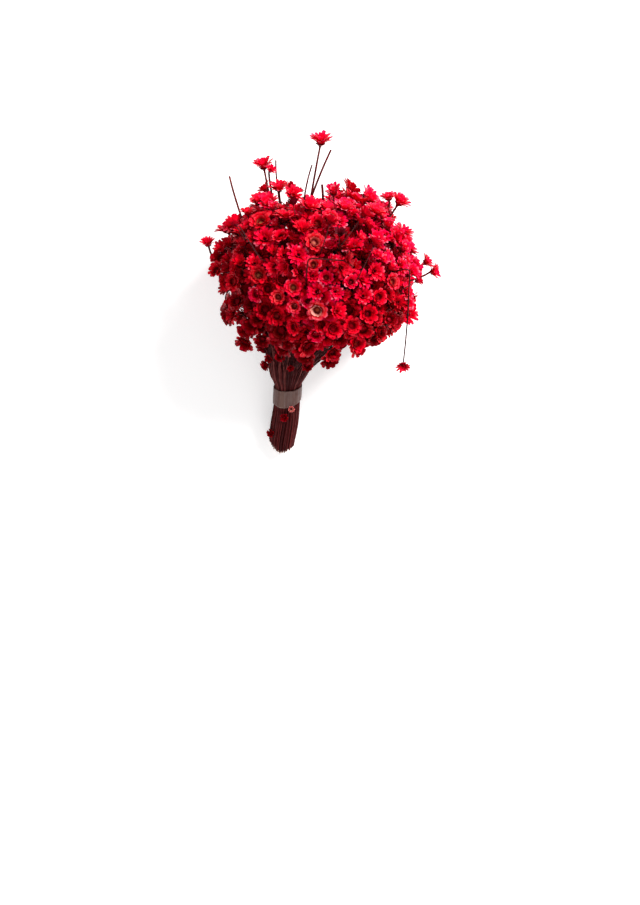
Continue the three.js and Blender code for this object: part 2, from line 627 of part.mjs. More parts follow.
const strayDraw = drawsFrom(5);
const STRAY_PETALS = 7;
for (const s of strays) {
  const facing = s.facing && s.facing.clone().negate();
  bunch.add(finish(`stray_stem_${s.name}`, solidOf(tube(s.path, s.thick, STRAY_SIDES, facing)), MAROON));
  if (s.radius) {
    const bloom = { centre: rimCentre(s), facing: s.facing, radius: s.radius };
    bunch.add(finish(`stray_bloom_${s.name}`, bloomSolid(bloom, STRAY_PETALS, strayDraw), RED));
  }
}
for (const c of caught) {
  bunch.add(finish(`caught_bloom_${c.name}`, bloomSolid(c, STRAY_PETALS, strayDraw), RED));
}

const reach = new THREE.Box3().setFromObject(bunch, true);
const footprint = reach.getCenter(point(0, 0, 0)).setZ(0);
bunch.children.forEach((mesh) => mesh.geometry.translate(-footprint.x, -footprint.y, 0));
export default bunch;
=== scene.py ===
"""A bunch of dried star flowers, dyed crimson, lying on a pale surface: about six hundred small blooms on
thin stems, gathered below a domed head and held by a wrap of frosted tape."""

import json
import math

import bpy
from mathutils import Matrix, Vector

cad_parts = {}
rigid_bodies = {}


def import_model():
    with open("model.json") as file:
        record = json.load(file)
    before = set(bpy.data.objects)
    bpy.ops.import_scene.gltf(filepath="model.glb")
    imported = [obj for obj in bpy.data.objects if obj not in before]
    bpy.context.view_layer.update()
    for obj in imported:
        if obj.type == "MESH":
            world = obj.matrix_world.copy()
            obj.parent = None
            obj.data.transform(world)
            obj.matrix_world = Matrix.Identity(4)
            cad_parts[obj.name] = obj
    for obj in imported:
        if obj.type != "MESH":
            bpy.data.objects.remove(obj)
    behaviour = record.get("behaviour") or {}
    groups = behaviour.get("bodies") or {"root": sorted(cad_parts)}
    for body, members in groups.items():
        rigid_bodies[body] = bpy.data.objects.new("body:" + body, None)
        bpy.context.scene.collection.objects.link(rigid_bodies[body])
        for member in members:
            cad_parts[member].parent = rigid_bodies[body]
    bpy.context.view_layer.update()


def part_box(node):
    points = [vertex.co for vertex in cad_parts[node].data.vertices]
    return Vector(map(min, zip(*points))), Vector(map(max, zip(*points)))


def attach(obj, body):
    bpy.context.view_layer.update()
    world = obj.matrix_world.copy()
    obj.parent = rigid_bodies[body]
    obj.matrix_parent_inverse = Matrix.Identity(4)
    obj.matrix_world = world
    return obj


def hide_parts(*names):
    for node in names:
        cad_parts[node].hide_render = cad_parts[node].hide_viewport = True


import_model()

# Where the bunch lies
# The bunch is laid out in millimetres, with the origin on the surface below the middle of its head. The
# finished part has its origin under the middle of the bunch, and the tape shows how far apart the two are.

MM = 0.001
TURN = 2 * math.pi
HEAD_CENTRE = Vector((0, 0, 66))
TIE_CENTRE = Vector((-24, -94, 25))
AXIS = (HEAD_CENTRE - TIE_CENTRE).normalized()
ACROSS = (Vector((1, 0, 0)) - AXIS * AXIS.x).normalized()
TOWARDS = ACROSS.cross(AXIS).normalized()

# The bundle from the cut ends to the flare under the head: middle, then half widths across and through.
BUNDLE = (
    ((-28.2, -133, 5.7), 9.3, 8.4),
    ((-27.6, -126, 9.1), 10.2, 9.2),
    ((-26, -114, 15.6), 10.9, 9.7),
    ((-24.6, -101, 21.8), 10.5, 9.4),
    ((-23.5, -84, 29.8), 10.5, 9.4),
    ((-23.2, -77, 33), 12.2, 11.2),
    ((-22.3, -69.5, 36.5), 14.8, 13.8),
    ((-20.5, -63, 39.4), 18, 17),
    ((-18, -56.5, 42.3), 22.5, 21.5),
    ((-15, -50, 45.2), 26.5, 25),
)
STEMS_AT_TIE = (Vector(BUNDLE[4][0]) - Vector(BUNDLE[3][0])).normalized()
TAPE_HALF = 5.7
TAPE_UP = 3.2
TAPE_SLANT = 0.13
TAPE_WIDE = 10.9
TAPE_DEEP = 9.8
TAPE_THICK = 0.65
TAPE_FLAP = 0.4
TAPE_FACETS = 28
FLAP_FACETS = range(4, 10)


def beside(direction):
    """The way across the bunch that is square to a direction."""
    return (ACROSS - direction * ACROSS.dot(direction)).normalized()


def on_tape(along, angle, thick):
    """A point of the tape: along the stems from its middle, round them, and this far out from the stems."""
    centre = TIE_CENTRE + STEMS_AT_TIE * (along + TAPE_UP)
    side = beside(STEMS_AT_TIE)
    p = (centre + side * ((TAPE_WIDE + thick) * math.cos(angle))
         + STEMS_AT_TIE.cross(side) * ((TAPE_DEEP + thick) * math.sin(angle)))
    return p + STEMS_AT_TIE * (TAPE_SLANT * (p - centre).dot(ACROSS))


def tape_corner():
    edge = [on_tape(end, TURN * k / TAPE_FACETS, TAPE_THICK + (TAPE_FLAP if k in FLAP_FACETS else 0))
            for end in (-TAPE_HALF, TAPE_HALF) for k in range(TAPE_FACETS)]
    return Vector((min(p.x for p in edge), min(p.y for p in edge), 0))


SHIFT = Vector((*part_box("tie_wrap")[0][:2], 0)) / MM - tape_corner()


def in_frame(p):
    return (p + SHIFT) * MM


# Floor, light and camera
# A plain pale sheet under the bunch. Broad soft lamps stand round it, the strongest at the upper right. The
# camera looks nearly straight down from just over a metre, tipped a little towards the cut ends.

VIEWPOINT = Vector((1.5, -73.2, 1113.4))
CAMERA_TIP = math.radians(-3.35)
LENS_MM = 55.7
SENSOR_MM = 36
FLOOR_HALF = 3.0
SHEET_GLOW = 0.36
WHITE = (1, 1, 1, 1)
# Where each lamp stands, its size and power, and its tint.
LAMPS = {
    "key": ((0.95, 0.9, 1.2), 0.65, 49.5, (1.0, 0.98, 0.97)),
    "fill": ((-1.1, 0.35, 1.0), 1.1, 3.5, (0.97, 0.98, 1.0)),
    "front": ((0.25, -1.3, 0.95), 1.2, 9.5, (1.0, 0.99, 0.98)),
}
SKY_STRENGTH = 0.38


class Net:
    """A node tree, with a short name for each kind of node that comes often. Their inputs are sockets or
    plain values."""

    def __init__(self, tree):
        self.tree = tree

    def add(self, kind, values=None, **settings):
        made = self.tree.nodes.new(kind)
        for name, value in settings.items():
            setattr(made, name, value)
        for socket, value in (values or {}).items():
            if isinstance(value, bpy.types.NodeSocket):
                self.tree.links.new(value, made.inputs[socket])
            else:
                made.inputs[socket].default_value = value
        return made

    def get(self, kind, values=None, **settings):
        return self.add(kind, values, **settings).outputs[0]

    def math(self, operation, *values):
        return self.get("ShaderNodeMath", dict(enumerate(values)), operation=operation)

    def plus(self, a, b):
        return self.math("ADD", a, b)

    def times(self, first, *others):
        for other in others:
            first = self.math("MULTIPLY", first, other)
        return first

    def xyz(self, *values):
        return self.get("ShaderNodeCombineXYZ", dict(enumerate(values)))

    def drawn(self, low, high, seed):
        """A random value, the same in each run."""
        return self.add("FunctionNodeRandomValue", {2: low, 3: high, "Seed": seed}).outputs[1]

    def marked(self, geometry, label, value, domain="POINT"):
        values = {"Geometry": geometry, "Name": label, "Value": value}
        return self.get("GeometryNodeStoreNamedAttribute", values, data_type="FLOAT", domain=domain)

    def finished(self, geometry, finish):
        geometry = self.get("GeometryNodeSetMaterial", {"Geometry": geometry, "Material": finish})
        self.give(geometry)

    def give(self, value):
        """Joins a value to the output of the group."""
        self.tree.links.new(value, self.tree.nodes["Group Output"].inputs[0])

    def own(self, label):
        """A value that the mesh carries."""
        return self.add("ShaderNodeAttribute", attribute_name=label).outputs["Fac"]

    def noise(self, scale, detail, at=None):
        at = at or self.add("ShaderNodeTexCoord").outputs["Object"]
        return self.get("ShaderNodeTexNoise", {"Vector": at, "Scale": scale, "Detail": detail})

    def spread(self, value, low, high, to_low=0.0, to_high=1.0):
        return self.get("ShaderNodeMapRange", {0: value, 1: low, 2: high, 3: to_low, 4: to_high},
                        interpolation_type="SMOOTHSTEP")

    def blend(self, share, first, second):
        return self.add("ShaderNodeMix", {0: share, 6: first, 7: second}, data_type="RGBA").outputs[2]

    def layered(self, colour, *layers):
        """A colour with others laid over it, each by its share."""
        for share, over in layers:
            colour = self.blend(share, colour, over)
        return colour

    def bump(self, height, strength, distance):
        return self.get("ShaderNodeBump", {"Height": height, "Strength": strength, "Distance": distance})

    def surface(self, **values):
        """The surface shader of a material, joined to its output."""
        shader = self.get("ShaderNodeBsdfPrincipled", {k.replace("_", " "): v for k, v in values.items()})
        self.add("ShaderNodeOutputMaterial", {"Surface": shader})


def dye(red, green, blue):
    """A colour as it is read off a swatch, from 0 to 255, turned into light values."""
    share = [c / 255 for c in (red, green, blue)]
    return tuple(c / 12.92 if c <= 0.04045 else ((c + 0.055) / 1.055) ** 2.4 for c in share) + (1,)


def blank_material(name):
    material = bpy.data.materials.new(name)
    material.use_nodes = True
    material.node_tree.nodes.clear()
    return material, Net(material.node_tree)


def made_of(points, faces, name, edges=()):
    mesh = bpy.data.meshes.new(name)
    mesh.from_pydata([tuple(p) for p in points], edges, faces, shade_flat=False)
    return mesh


def carry(mesh, label, values, kind="FLOAT"):
    """Gives each point of a mesh a value of its own."""
    field = "vector" if kind == "FLOAT_VECTOR" else "value"
    mesh.attributes.new(label, kind, "POINT").data.foreach_set(field, values)


def in_scene(data, name):
    made = bpy.data.objects.new(name, data)
    bpy.context.scene.collection.objects.link(made)
    return made


paper, net = blank_material("Pale backdrop sheet")
tooth = net.blend(net.noise(900, 3), dye(253, 253, 253), dye(249, 249, 249))
net.surface(Base_Color=tooth, Roughness=0.9, Emission_Color=WHITE, Emission_Strength=SHEET_GLOW)
corners = [(x * FLOOR_HALF, y * FLOOR_HALF, 0) for x, y in ((-1, -1), (1, -1), (1, 1), (-1, 1))]
sheet = in_scene(made_of(corners, [(0, 1, 2, 3)], "backdrop_sheet"), "backdrop_sheet")
sheet.data.materials.append(paper)

world = bpy.data.worlds.new("Studio")
world.use_nodes = True
sky = world.node_tree.nodes["Background"].inputs
sky[0].default_value, sky[1].default_value = WHITE, SKY_STRENGTH
bpy.context.scene.world = world
for name, (stands_at, size, watts, tint) in LAMPS.items():
    light = bpy.data.lights.new(f"{name}_lamp", "AREA")
    light.size, light.energy, light.color = size, watts, tint
    stand = in_scene(light, f"{name}_lamp")
    stand.location = stands_at
    stand.rotation_euler = Vector(stands_at).to_track_quat("Z", "Y").to_euler()

view = bpy.data.cameras.new("camera")
view.sensor_fit = "VERTICAL"
view.sensor_height = SENSOR_MM
view.lens = LENS_MM
camera = in_scene(view, "camera")
camera.location = in_frame(VIEWPOINT)
camera.rotation_euler = (CAMERA_TIP, 0, 0)
bpy.context.scene.camera = camera
bpy.context.scene.view_settings.view_transform = "Standard"  # colours as they are: deep dye, white sheet

# One bloom
# A small daisy of stiff papery bracts on a dark cone: short scales at the bottom, two whorls of spreading
# petals and an erect cup round a tufted heart. It is one unit from its middle to its tips. Eight kinds, from
# half closed to wide open, are each grown by the same tree.

# Length, width, lean of the foot and curl to the tip in degrees, depth of the trough, then the outline.
PETALS = {
    "round_outer": (0.79, 0.45, 46, 46, 0.3, (0.42, 0.84, 1, 0.9)),
    "round_middle": (0.62, 0.38, 24, 36, 0.34, (0.5, 0.88, 1, 0.88)),
    "round_cup": (0.58, 0.3, 22, -2, 0.3, (0.8, 0.95, 1, 0.84)),
    "pointed_outer": (1.03, 0.3, 38, 44, 0.36, (0.4, 0.8, 1, 0.8)),
    "pointed_middle": (0.86, 0.29, 25, 36, 0.4, (0.42, 0.8, 1, 0.8)),
    "pointed_cup": (0.6, 0.26, 2, 32, 0.36, (0.6, 0.9, 1, 0.74)),
    "scale": (0.46, 0.27, 38, 34, 0.3, (0.55, 0.95, 1, 0.6)),
}
PETAL_STATIONS = (0, 0.34, 0.66, 0.9, 1)
PETAL_STEP = 0.01
PETAL_THICK = 0.035
# Shape of the petals, their tilt in degrees, outer, middle and cup petals, and the half width of the cup.
KINDS = (
    ("round", -20, 9, 8, 10, 0.44), ("round", -14, 10, 9, 11, 0.5),
    ("round", -9, 10, 9, 11, 0.54), ("round", -4, 11, 9, 12, 0.58),
    ("pointed", -30, 12, 9, 7, 0.18), ("pointed", -15, 13, 10, 8, 0.22),
    ("pointed", -6, 13, 11, 8, 0.24), ("pointed", 3, 14, 10, 8, 0.22),
)
ROUND_KINDS = 4
CLOSED_KIND = 4
FIRST_SEED = 3
SEED_STEP = 8
# How far petals stray round the whorl, up and down, and about their own length, where the whorl is loose.
PETAL_STRAY = (0.55, 1, 1.4)
ROUND_STRAY = 3.5
PETAL_SIZES = (0.88, 1.06)
# Petal, count, half width as a share of the cup's, height, share of the tilt, looseness and level.
WHORLS = (
    ("Scale petal", 7, 0.3, -0.58, 0.35, 0.06, -1.0),
    ("Outer petal", "Outer count", 0.6, -0.46, 1.0, 0.115, 0.0),
    ("Middle petal", "Middle count", 0.8, -0.42, 0.9, 0.135, 0.5),
    ("Cup petal", "Cup count", 0.58, -0.45, 0.2, 0.1, 1.0),
)
WHORL_SEED_STEP = 7
TUFT_SHARE = 0.5
TUFT_LOW = (0, 0, -0.46)
TUFT_FLAT = (1, 1, 0.38)
CONE = {"Vertices": 9, "Side Segments": 1, "Radius Top": 0.2, "Radius Bottom": 0.075, "Depth": 0.3}
CONE_LOW = (0, 0, -0.69)


def petal_mesh(name, length, width, lean, curl, trough, outline):
    """A closed petal that starts at the origin and runs out along x and up along z, hollow on its upper
    side."""
    points, marks = [], []
    p = Vector((0, 0, 0))
    t = 0.0
    for station, share in zip(PETAL_STATIONS, (*outline, 0)):
        while t < station - PETAL_STEP / 2:
            t += PETAL_STEP
            angle = math.radians(lean + curl * t)
            p = p + Vector((math.sin(angle), 0, math.cos(angle))) * (PETAL_STEP * length)
        if not share:
            points.append(p)
            marks.append((1, 0, 0))
            continue
        angle = math.radians(lean + curl * t)
        up = Vector((-math.cos(angle), 0, math.sin(angle)))
        side = Vector((0, width * share / 2, 0))
        lift = up * (trough * width * share / 2)
        half = up * (PETAL_THICK / 2)
        points += [p + side + lift, p + half, p - side + lift, p - half]
        marks += [(t, 1, 0), (t, 0, 1), (t, -1, 0), (t, 0, -1)]
    tip = len(points) - 1
    faces = [(3, 2, 1, 0)]
    for ring in range(0, tip - 4, 4):
        faces += [(ring + k, ring + (k + 1) % 4, ring + 4 + (k + 1) % 4, ring + 4 + k) for k in range(4)]
    faces += [(tip - 4 + k, tip - 4 + (k + 1) % 4, tip) for k in range(4)]
    mesh = made_of(points, faces, name)
    for label, values in zip(("reach", "side", "upper"), zip(*marks)):
        carry(mesh, label, values)
    rim = mesh.attributes.new("sharp_edge", "BOOLEAN", "EDGE")
    for edge in mesh.edges:
        a, b = (marks[v] for v in edge.vertices)
        rim.data[edge.index].value = a[2] == b[2] == 0
    return mesh


def group_of(kind, name, gives, inputs):
    """A node group with one output and named inputs, each with its default or just its kind."""
    tree = bpy.data.node_groups.new(name, f"{kind}NodeTree")
    for label, value in inputs.items():
        sort = value if isinstance(value, str) else type(value).__name__.title()
        socket = tree.interface.new_socket(name=label, in_out="INPUT", socket_type=f"NodeSocket{sort}")
        if sort != value:
            socket.default_value = value
    sort = "Geometry" if kind == "Geometry" else "Float"
    tree.interface.new_socket(name=gives, in_out="OUTPUT", socket_type=f"NodeSocket{sort}")
    tree.nodes.new("NodeGroupOutput")
    return Net(tree), tree.nodes.new("NodeGroupInput").outputs


def grow(name, source, net, inputs):
    """The plain mesh that a tree makes from a source mesh, as a new object."""
    holder = in_scene(source, f"{name}_source")
    modifier = holder.modifiers.new("grow", "NODES")
    modifier.node_group = net.tree
    for label, value in inputs.items():
        modifier[net.tree.interface.items_tree[label].identifier] = value
    ready = bpy.context.evaluated_depsgraph_get()
    mesh = bpy.data.meshes.new_from_object(holder.evaluated_get(ready), preserve_all_data_layers=True,
                                           depsgraph=ready)
    bpy.data.objects.remove(holder)
    mesh.name = name
    return in_scene(mesh, name)


net, given = group_of("Geometry", "Whorl of petals", "Result", {
    "Petal": "Object", "Count": 12, "Ring": 0.1, "Height": -0.5, "Tilt": 0.0, "Loose": 0.1, "Level": 0.0,
    "Seed": 1})
whorl_group = net.tree
seeds = [net.plus(given["Seed"], k) for k in range(5)]
shuffle, dip, swing = (net.times(net.drawn(-most, most, seed), given["Loose"])
                       for seed, most in zip(seeds, PETAL_STRAY))
angle = net.times(net.plus(net.get("GeometryNodeInputIndex"), net.times(shuffle, ROUND_STRAY)),
                  net.math("DIVIDE", TURN, given["Count"]))
turned = net.get("FunctionNodeEulerToRotation", {0: net.xyz(swing, net.plus(given["Tilt"], dip), angle)})
foot = net.xyz(net.times(net.math("COSINE", angle), given["Ring"]),
               net.times(net.math("SINE", angle), given["Ring"]), given["Height"])
petal = net.add("GeometryNodeObjectInfo", {"Object": given["Petal"]}).outputs["Geometry"]
whorl = net.get("GeometryNodeInstanceOnPoints", {
    "Points": net.get("GeometryNodePoints", {"Count": given["Count"], "Position": foot}), "Instance": petal,
    "Rotation": turned, "Scale": net.drawn(*PETAL_SIZES, seeds[3])})
whorl = net.marked(whorl, "petal_tone", net.drawn(0.0, 1.0, seeds[4]), "INSTANCE")
whorl = net.get("GeometryNodeRealizeInstances", {0: whorl})
net.give(net.marked(whorl, "level", given["Level"]))

bloom_net, given = group_of("Geometry", "One bloom", "Result", {
    "Outer petal": "Object", "Middle petal": "Object", "Cup petal": "Object", "Scale petal": "Object",
    "Outer count": 12, "Middle count": 11, "Cup count": 8, "Cup ring": 0.3, "Tilt": 0.0, "Seed": 1,
    "Finish": "Material"})
net = bloom_net
parts = [net.get("GeometryNodeGroup", {
    "Petal": given[label], "Count": given[count] if isinstance(count, str) else count,
    "Ring": net.times(given["Cup ring"], ring), "Height": height, "Tilt": net.times(given["Tilt"], share),
    "Loose": loose, "Level": level, "Seed": net.plus(given["Seed"], WHORL_SEED_STEP * number),
}, node_tree=whorl_group) for number, (label, count, ring, height, share, loose, level) in enumerate(WHORLS)]
tuft = net.get("GeometryNodeMeshIcoSphere", {"Radius": net.times(given["Cup ring"], TUFT_SHARE),
                                             "Subdivisions": 2})
tuft = net.get("GeometryNodeTransform", {"Geometry": tuft, "Translation": TUFT_LOW, "Scale": TUFT_FLAT})
cone = net.get("GeometryNodeTransform", {"Geometry": net.get("GeometryNodeMeshCone", CONE),
                                         "Translation": CONE_LOW})
parts += [net.marked(tuft, "heart_part", 1.0), net.marked(cone, "cone_part", 1.0)]
joined = net.add("GeometryNodeJoinGeometry")
for part in parts:
    net.tree.links.new(part, joined.inputs[0])
net.finished(net.get("GeometryNodeRealizeInstances", {0: joined.outputs[0]}), given["Finish"])

# The dye: deep red at the foot of each petal and crimson over most of it, with fine veins along it. The deep
# red of the foot, darker on the inner whorls, is also painted shade in the middle of the bloom, and blooms of
# a low tone are darker, partly as painted shade. The pinker tips are a painted sheen, and the pink rims and
# the glints are painted highlights. Cups are bleached on some blooms, and hearts run from dark red to cream.
SHEEN = 0.3
SHEEN_TINT = (1.0, 0.06, 0.2, 1)
# Deep red of the petal's foot, also painted shade in the middle of the bloom.
FOOT_DYE_AND_SHADE = dye(104, 0, 3)
# Dark end of the dye, also painted shade on blooms of a low tone.
DARK_DYE_AND_SHADE = dye(120, 0, 3)
DYE_BODY = dye(243, 0, 33)
# Painted sheen on the petal tips.
PAINTED_TIP_SHEEN = dye(250, 5, 90)
# Painted highlight along the rims.
PAINTED_RIM_HIGHLIGHT = dye(255, 92, 142)
# Painted glints.
PAINTED_GLINT = dye(255, 176, 200)
DYE_UNDER = dye(206, 2, 34)
BLEACHED = dye(255, 180, 164)
CONE_BROWN = dye(70, 4, 12)
HEART_DARK = dye(128, 0, 9)
HEART_CREAM = dye(176, 132, 82)

# Fine streaks that run along a dry plant part, and the slow change of tone from place to place.
net, given = group_of("Shader", "Dry fibre streaks", "Streaks", {
    "Along": 0.0, "Round": 0.0, "Seed": 0.0, "Fineness": 6.0, "Length": 1.5})
streaks_group = net.tree
line = net.xyz(net.times(given["Round"], given["Fineness"]), net.times(given["Along"], given["Length"]),
               net.times(given["Seed"], 37.0))
net.give(net.spread(net.noise(1.0, 3.0, line), 0.3, 0.7))

net, given = group_of("Shader", "Uneven dye", "Mottle", {"Scale": 60.0})
mottle_group = net.tree
net.give(net.spread(net.noise(given["Scale"], 4.0), 0.3, 0.7))


def streaked(net, along, round_it, seed, fineness, length):
    return net.get("ShaderNodeGroup", {"Along": along, "Round": round_it, "Seed": seed,
                                       "Fineness": fineness, "Length": length}, node_tree=streaks_group)


def mottled(net, scale):
    return net.get("ShaderNodeGroup", {"Scale": scale}, node_tree=mottle_group)


def petal_finish():
    material, net = blank_material("Dyed papery bloom")
    spread, times, plus, blend = net.spread, net.times, net.plus, net.blend
    reach, side, level, tone, petal_tone, pale, heart_tone = map(net.own, (
        "reach", "side", "level", "tone", "petal_tone", "pale", "heart"))
    veins = streaked(net, reach, side, petal_tone, 5.0, 0.9)
    # Blooms of a low tone are darker: partly their own dye, partly painted shade, as the tone carries painted
    # light and shade.
    body = blend(spread(plus(tone, times(petal_tone, 0.6)), 0.1, 1.02), DARK_DYE_AND_SHADE, DYE_BODY)
    inner = spread(level, 0.4, 1.0)
    # Darker towards the foot, more on the inner whorls: partly the dye, partly painted shade in the middle of
    # the bloom.
    colour = blend(spread(plus(reach, times(inner, -0.2)), 0.02, 0.55), FOOT_DYE_AND_SHADE, body)
    # Painted sheen: pinker tips, more on blooms of a high tone.
    tip_sheen = times(spread(reach, 0.62, 1.0), spread(tone, 0.45, 1.25, 0.0, 0.8))
    edge = spread(net.math("ABSOLUTE", side), 0.55, 1.0)
    # Painted highlight along the rims and tips of the petals.
    rim = times(plus(times(edge, 0.5), spread(reach, 0.9, 1.0)),
                times(spread(reach, 0.6, 0.92), spread(petal_tone, 0.4, 0.95)))
    rim = times(rim, plus(spread(tone, 0.2, 1.0, 0.05, 0.45), times(inner, 0.25)))
    # Painted glints on the edges of a few petal tips.
    glint = times(spread(petal_tone, 0.84, 0.88), spread(reach, 0.7, 0.97),
                  spread(edge, 0.0, 1.0, 0.5, 1.0), spread(tone, 0.4, 1.0, 0.0, 0.85))
    wall = times(spread(reach, 0.05, 0.5), spread(reach, 1.0, 0.7, 0.35, 1.0), spread(pale, 0.3, 1.0),
                 spread(level, 0.5, 1.0, 0.06, 1.0))
    tips = times(spread(reach, 0.7, 1.0), pale, spread(level, 0.0, 1.0, 0.1, 0.6))
    speckle = net.noise(2600.0, 2.0)
    heart = blend(heart_tone, HEART_DARK, HEART_CREAM)
    heart = blend(spread(speckle, 0.36, 0.62, 0.0, 0.7), heart, HEART_DARK)
    heart_wall = times(inner, spread(reach, 0.5, 0.1), heart_tone, 0.8)
    colour = net.layered(
        colour, (tip_sheen, PAINTED_TIP_SHEEN), (rim, PAINTED_RIM_HIGHLIGHT), (glint, PAINTED_GLINT),
        (spread(net.own("upper"), 0.0, -1.0, 0.0, 0.4), DYE_UNDER), (plus(wall, tips), BLEACHED),
        (times(veins, 0.24), FOOT_DYE_AND_SHADE), (times(mottled(net, 320.0), 0.14), DARK_DYE_AND_SHADE),
        (spread(tone, -1.1, -1.5, 0.0, 0.9), CONE_BROWN), (plus(net.own("heart_part"), heart_wall), heart),
        (plus(net.own("cone_part"), spread(level, 0.0, -1.0, 0.0, 0.7)), CONE_BROWN))
    net.surface(Base_Color=colour, Roughness=spread(veins, 0.0, 1.0, 0.24, 0.36),
                Normal=net.bump(plus(veins, times(speckle, 0.3)), 0.5, 0.0002),
                Specular_IOR_Level=SHEEN, Specular_Tint=SHEEN_TINT)
    return material


bloom_finish = petal_finish()
petals = {label: in_scene(petal_mesh(f"{label}_petal", *sizes), f"{label}_petal")
          for label, sizes in PETALS.items()}
kinds = bpy.data.collections.new("Bloom kinds")
for number, (shape, tilt, outer, middle, cup, ring) in enumerate(KINDS):
    made = grow(f"kind_{number}", made_of([(0, 0, 0)], [], "seed"), bloom_net, {
        "Outer petal": petals[f"{shape}_outer"], "Middle petal": petals[f"{shape}_middle"],
        "Cup petal": petals[f"{shape}_cup"], "Scale petal": petals["scale"], "Outer count": outer,
        "Middle count": middle, "Cup count": cup, "Cup ring": ring, "Tilt": math.radians(tilt),
        "Seed": FIRST_SEED + SEED_STEP * number, "Finish": bloom_finish})
    bpy.context.scene.collection.objects.unlink(made)
    kinds.objects.link(made)
bpy.context.scene.collection.children.link(kinds)

# Where the blooms of the head stand
# The head is a dome, fuller in some places than in others. Listed blooms come first, then big ones and small
# ones fill in. A second layer lies in the gaps, and two deeper ones close the view inwards.

HEAD_WIDE = 77
HEAD_DEEP = 70
HEAD_TALL = 67
CORE_INSET = 16.5
ROOT_DEPTH = 5
CLEAR = 0.35
# Where the head is fuller or flatter: a direction across, to the viewer and along, the gain and the width.
FULLNESS = (
    (-0.47, -0.2, 0.83, -0.15, 0.3), (0.05, -0.25, 0.94, -0.14, 0.25), (0.52, -0.2, 0.8, 0.07, 0.28),
    (0.99, 0, 0.05, 0.04, 0.3), (-0.99, 0, 0.08, 0.04, 0.25), (-0.94, 0.1, -0.33, -0.1, 0.25),
    (0.82, -0.1, 0.54, -0.06, 0.25), (0.94, 0.1, -0.33, -0.05, 0.25), (-0.7, 0.22, -0.68, 0.09, 0.28),
    (0.7, 0.2, -0.68, -0.12, 0.35), (0.2, 0.4, -0.9, 0.04, 0.25),
)
SEEN_FROM = Vector((0, -73, 1113))
# Blooms listed one by one: where they are seen, to the right of the head's centre and above it, and radius.
SEEN = (
    (-40, 62, 5.2), (-44, 53, 5.8), (-33.5, 48, 4.8), (-52, 45, 5), (-64, 34.5, 7), (-72, 17.5, 7),
    (-76.5, 2, 6.2), (-64.5, -7, 6.2), (-61.5, -21, 6), (-64.5, -32, 6), (-55.5, -54, 7),
    (12, -61, 7), (30, -54, 6.6), (48, -45, 6), (54.5, -34.5, 5.6), (60, -22, 5.6), (67, -14.5, 5.8),
    (63, 4.5, 6.2), (64, 17.5, 6.2), (64, 31.5, 6.6), (52.5, 35.5, 6.2), (43.5, 46, 6.8), (37, 58, 6.6),
    (25, 62, 7), (11.5, 60, 6.6), (20, 48.5, 6), (-6, 49.5, 7), (-24, 43, 6.6), (-43, 38.5, 6.6),
    (-56, 22, 6), (-45, 20.5, 6.2), (-33, 15, 5.4), (-28, 27.5, 5.8), (-11, 32.5, 6.6), (-2, 22.5, 6.2),
    (9.8, 39.8, 5.8), (32, 38, 5.8), (43.5, 25.5, 6.2), (44, 13, 5), (10.5, 9, 6.2), (-45, -2, 6.6),
    (-25, 4, 6.6), (-3.5, 6, 5.6), (6, -4, 5.2), (43, 0.5, 6.2), (56.5, -7, 6), (25, -7, 5.4),
    (-18.5, -11.5, 6), (-30, -18.5, 5.4), (-47, -17, 5.8), (-1.5, -14.5, 6.4), (13.5, -15, 5.8),
    (-18, -26, 5.2), (-1, -29, 7.4), (15, -29, 6.6), (46.5, -18.5, 6), (38, -31, 7.2), (26, -40, 6.2),
    (12, -42.5, 6), (-1.5, -48, 5.6), (-19, -41, 5.8), (-31, -33.5, 6.6), (-45, -33.5, 6.8), (-42, -51, 6),
    (-23, -55, 6),
)
# Draws, depth and its spread, radius of the first and last bloom, widest angle from the axis, most blooms,
# and how near blooms of the inner layers may come to others, as a share: low on the head and at its top.
LAYERS = {
    "outer": (5200, 2.2, 4, (7.7, 5.9), 2.5, 196, None),
    "lower": (5200, 9.5, 1.5, (6.9, 5.2), 2.34, 108, None),
    "between": (3400, 5, 6, (6.6, 4.8), 2.3, 226, (0.72, 0.64)),
    "deep": (1500, 16, 3, (6.8, 5.6), 2.1, 110, (0.72, 0.72)),
}
PLACING_SEED = 20
LAYER_OVERLAP = 0.84
OVERLAP_HEIGHTS = (-5, 25)
NECK_HALF = 0.75
NECK_BY_STRAY = 1.7
STRAY_IN_BLOOM = 0.7
FACING_JITTER = 0.34
UPWARD = 0.42
PRESSED = 0.9
TIER_EDGES = (-45, -23, -3, 17, 35)
NECK_ROOM = (2, 3.5, 5, 6.5, 8)
NECK_SHARES = (0, 0.15, 0.3, 0.45, 0.6, 0.8, 1)
NECK_STEPS = (0, 0.2, 0.4, 0.6, 0.8, 1)
CORE_REACH = 1.03
EDGE_ROOM = 1.3
CUP_SHARE = 0.66
FRONT_HEIGHTS = range(150, 30, -1)


def spread_share(value, low, high):
    return max(0.0, min(1.0, (value - low) / (high - low)))


def draws_from(seed):
    """A repeatable draw from 0 to 1, by the Park-Miller rule."""
    state = seed
    while True:
        state = state * 48271 % 2147483647
        yield state / 2147483647


def fullness_at(d):
    return 1 + sum(gain * math.exp(-((d[0] - a) ** 2 + (d[1] - t) ** 2 + (d[2] - l) ** 2) / (width * width))
                   for a, t, l, gain, width in FULLNESS)


def on_head(d, inset):
    full = fullness_at(d)
    return (HEAD_CENTRE + ACROSS * ((HEAD_WIDE * full - inset) * d[0])
            + TOWARDS * ((HEAD_DEEP * full - inset) * d[1]) + AXIS * ((HEAD_TALL * full - inset) * d[2]))


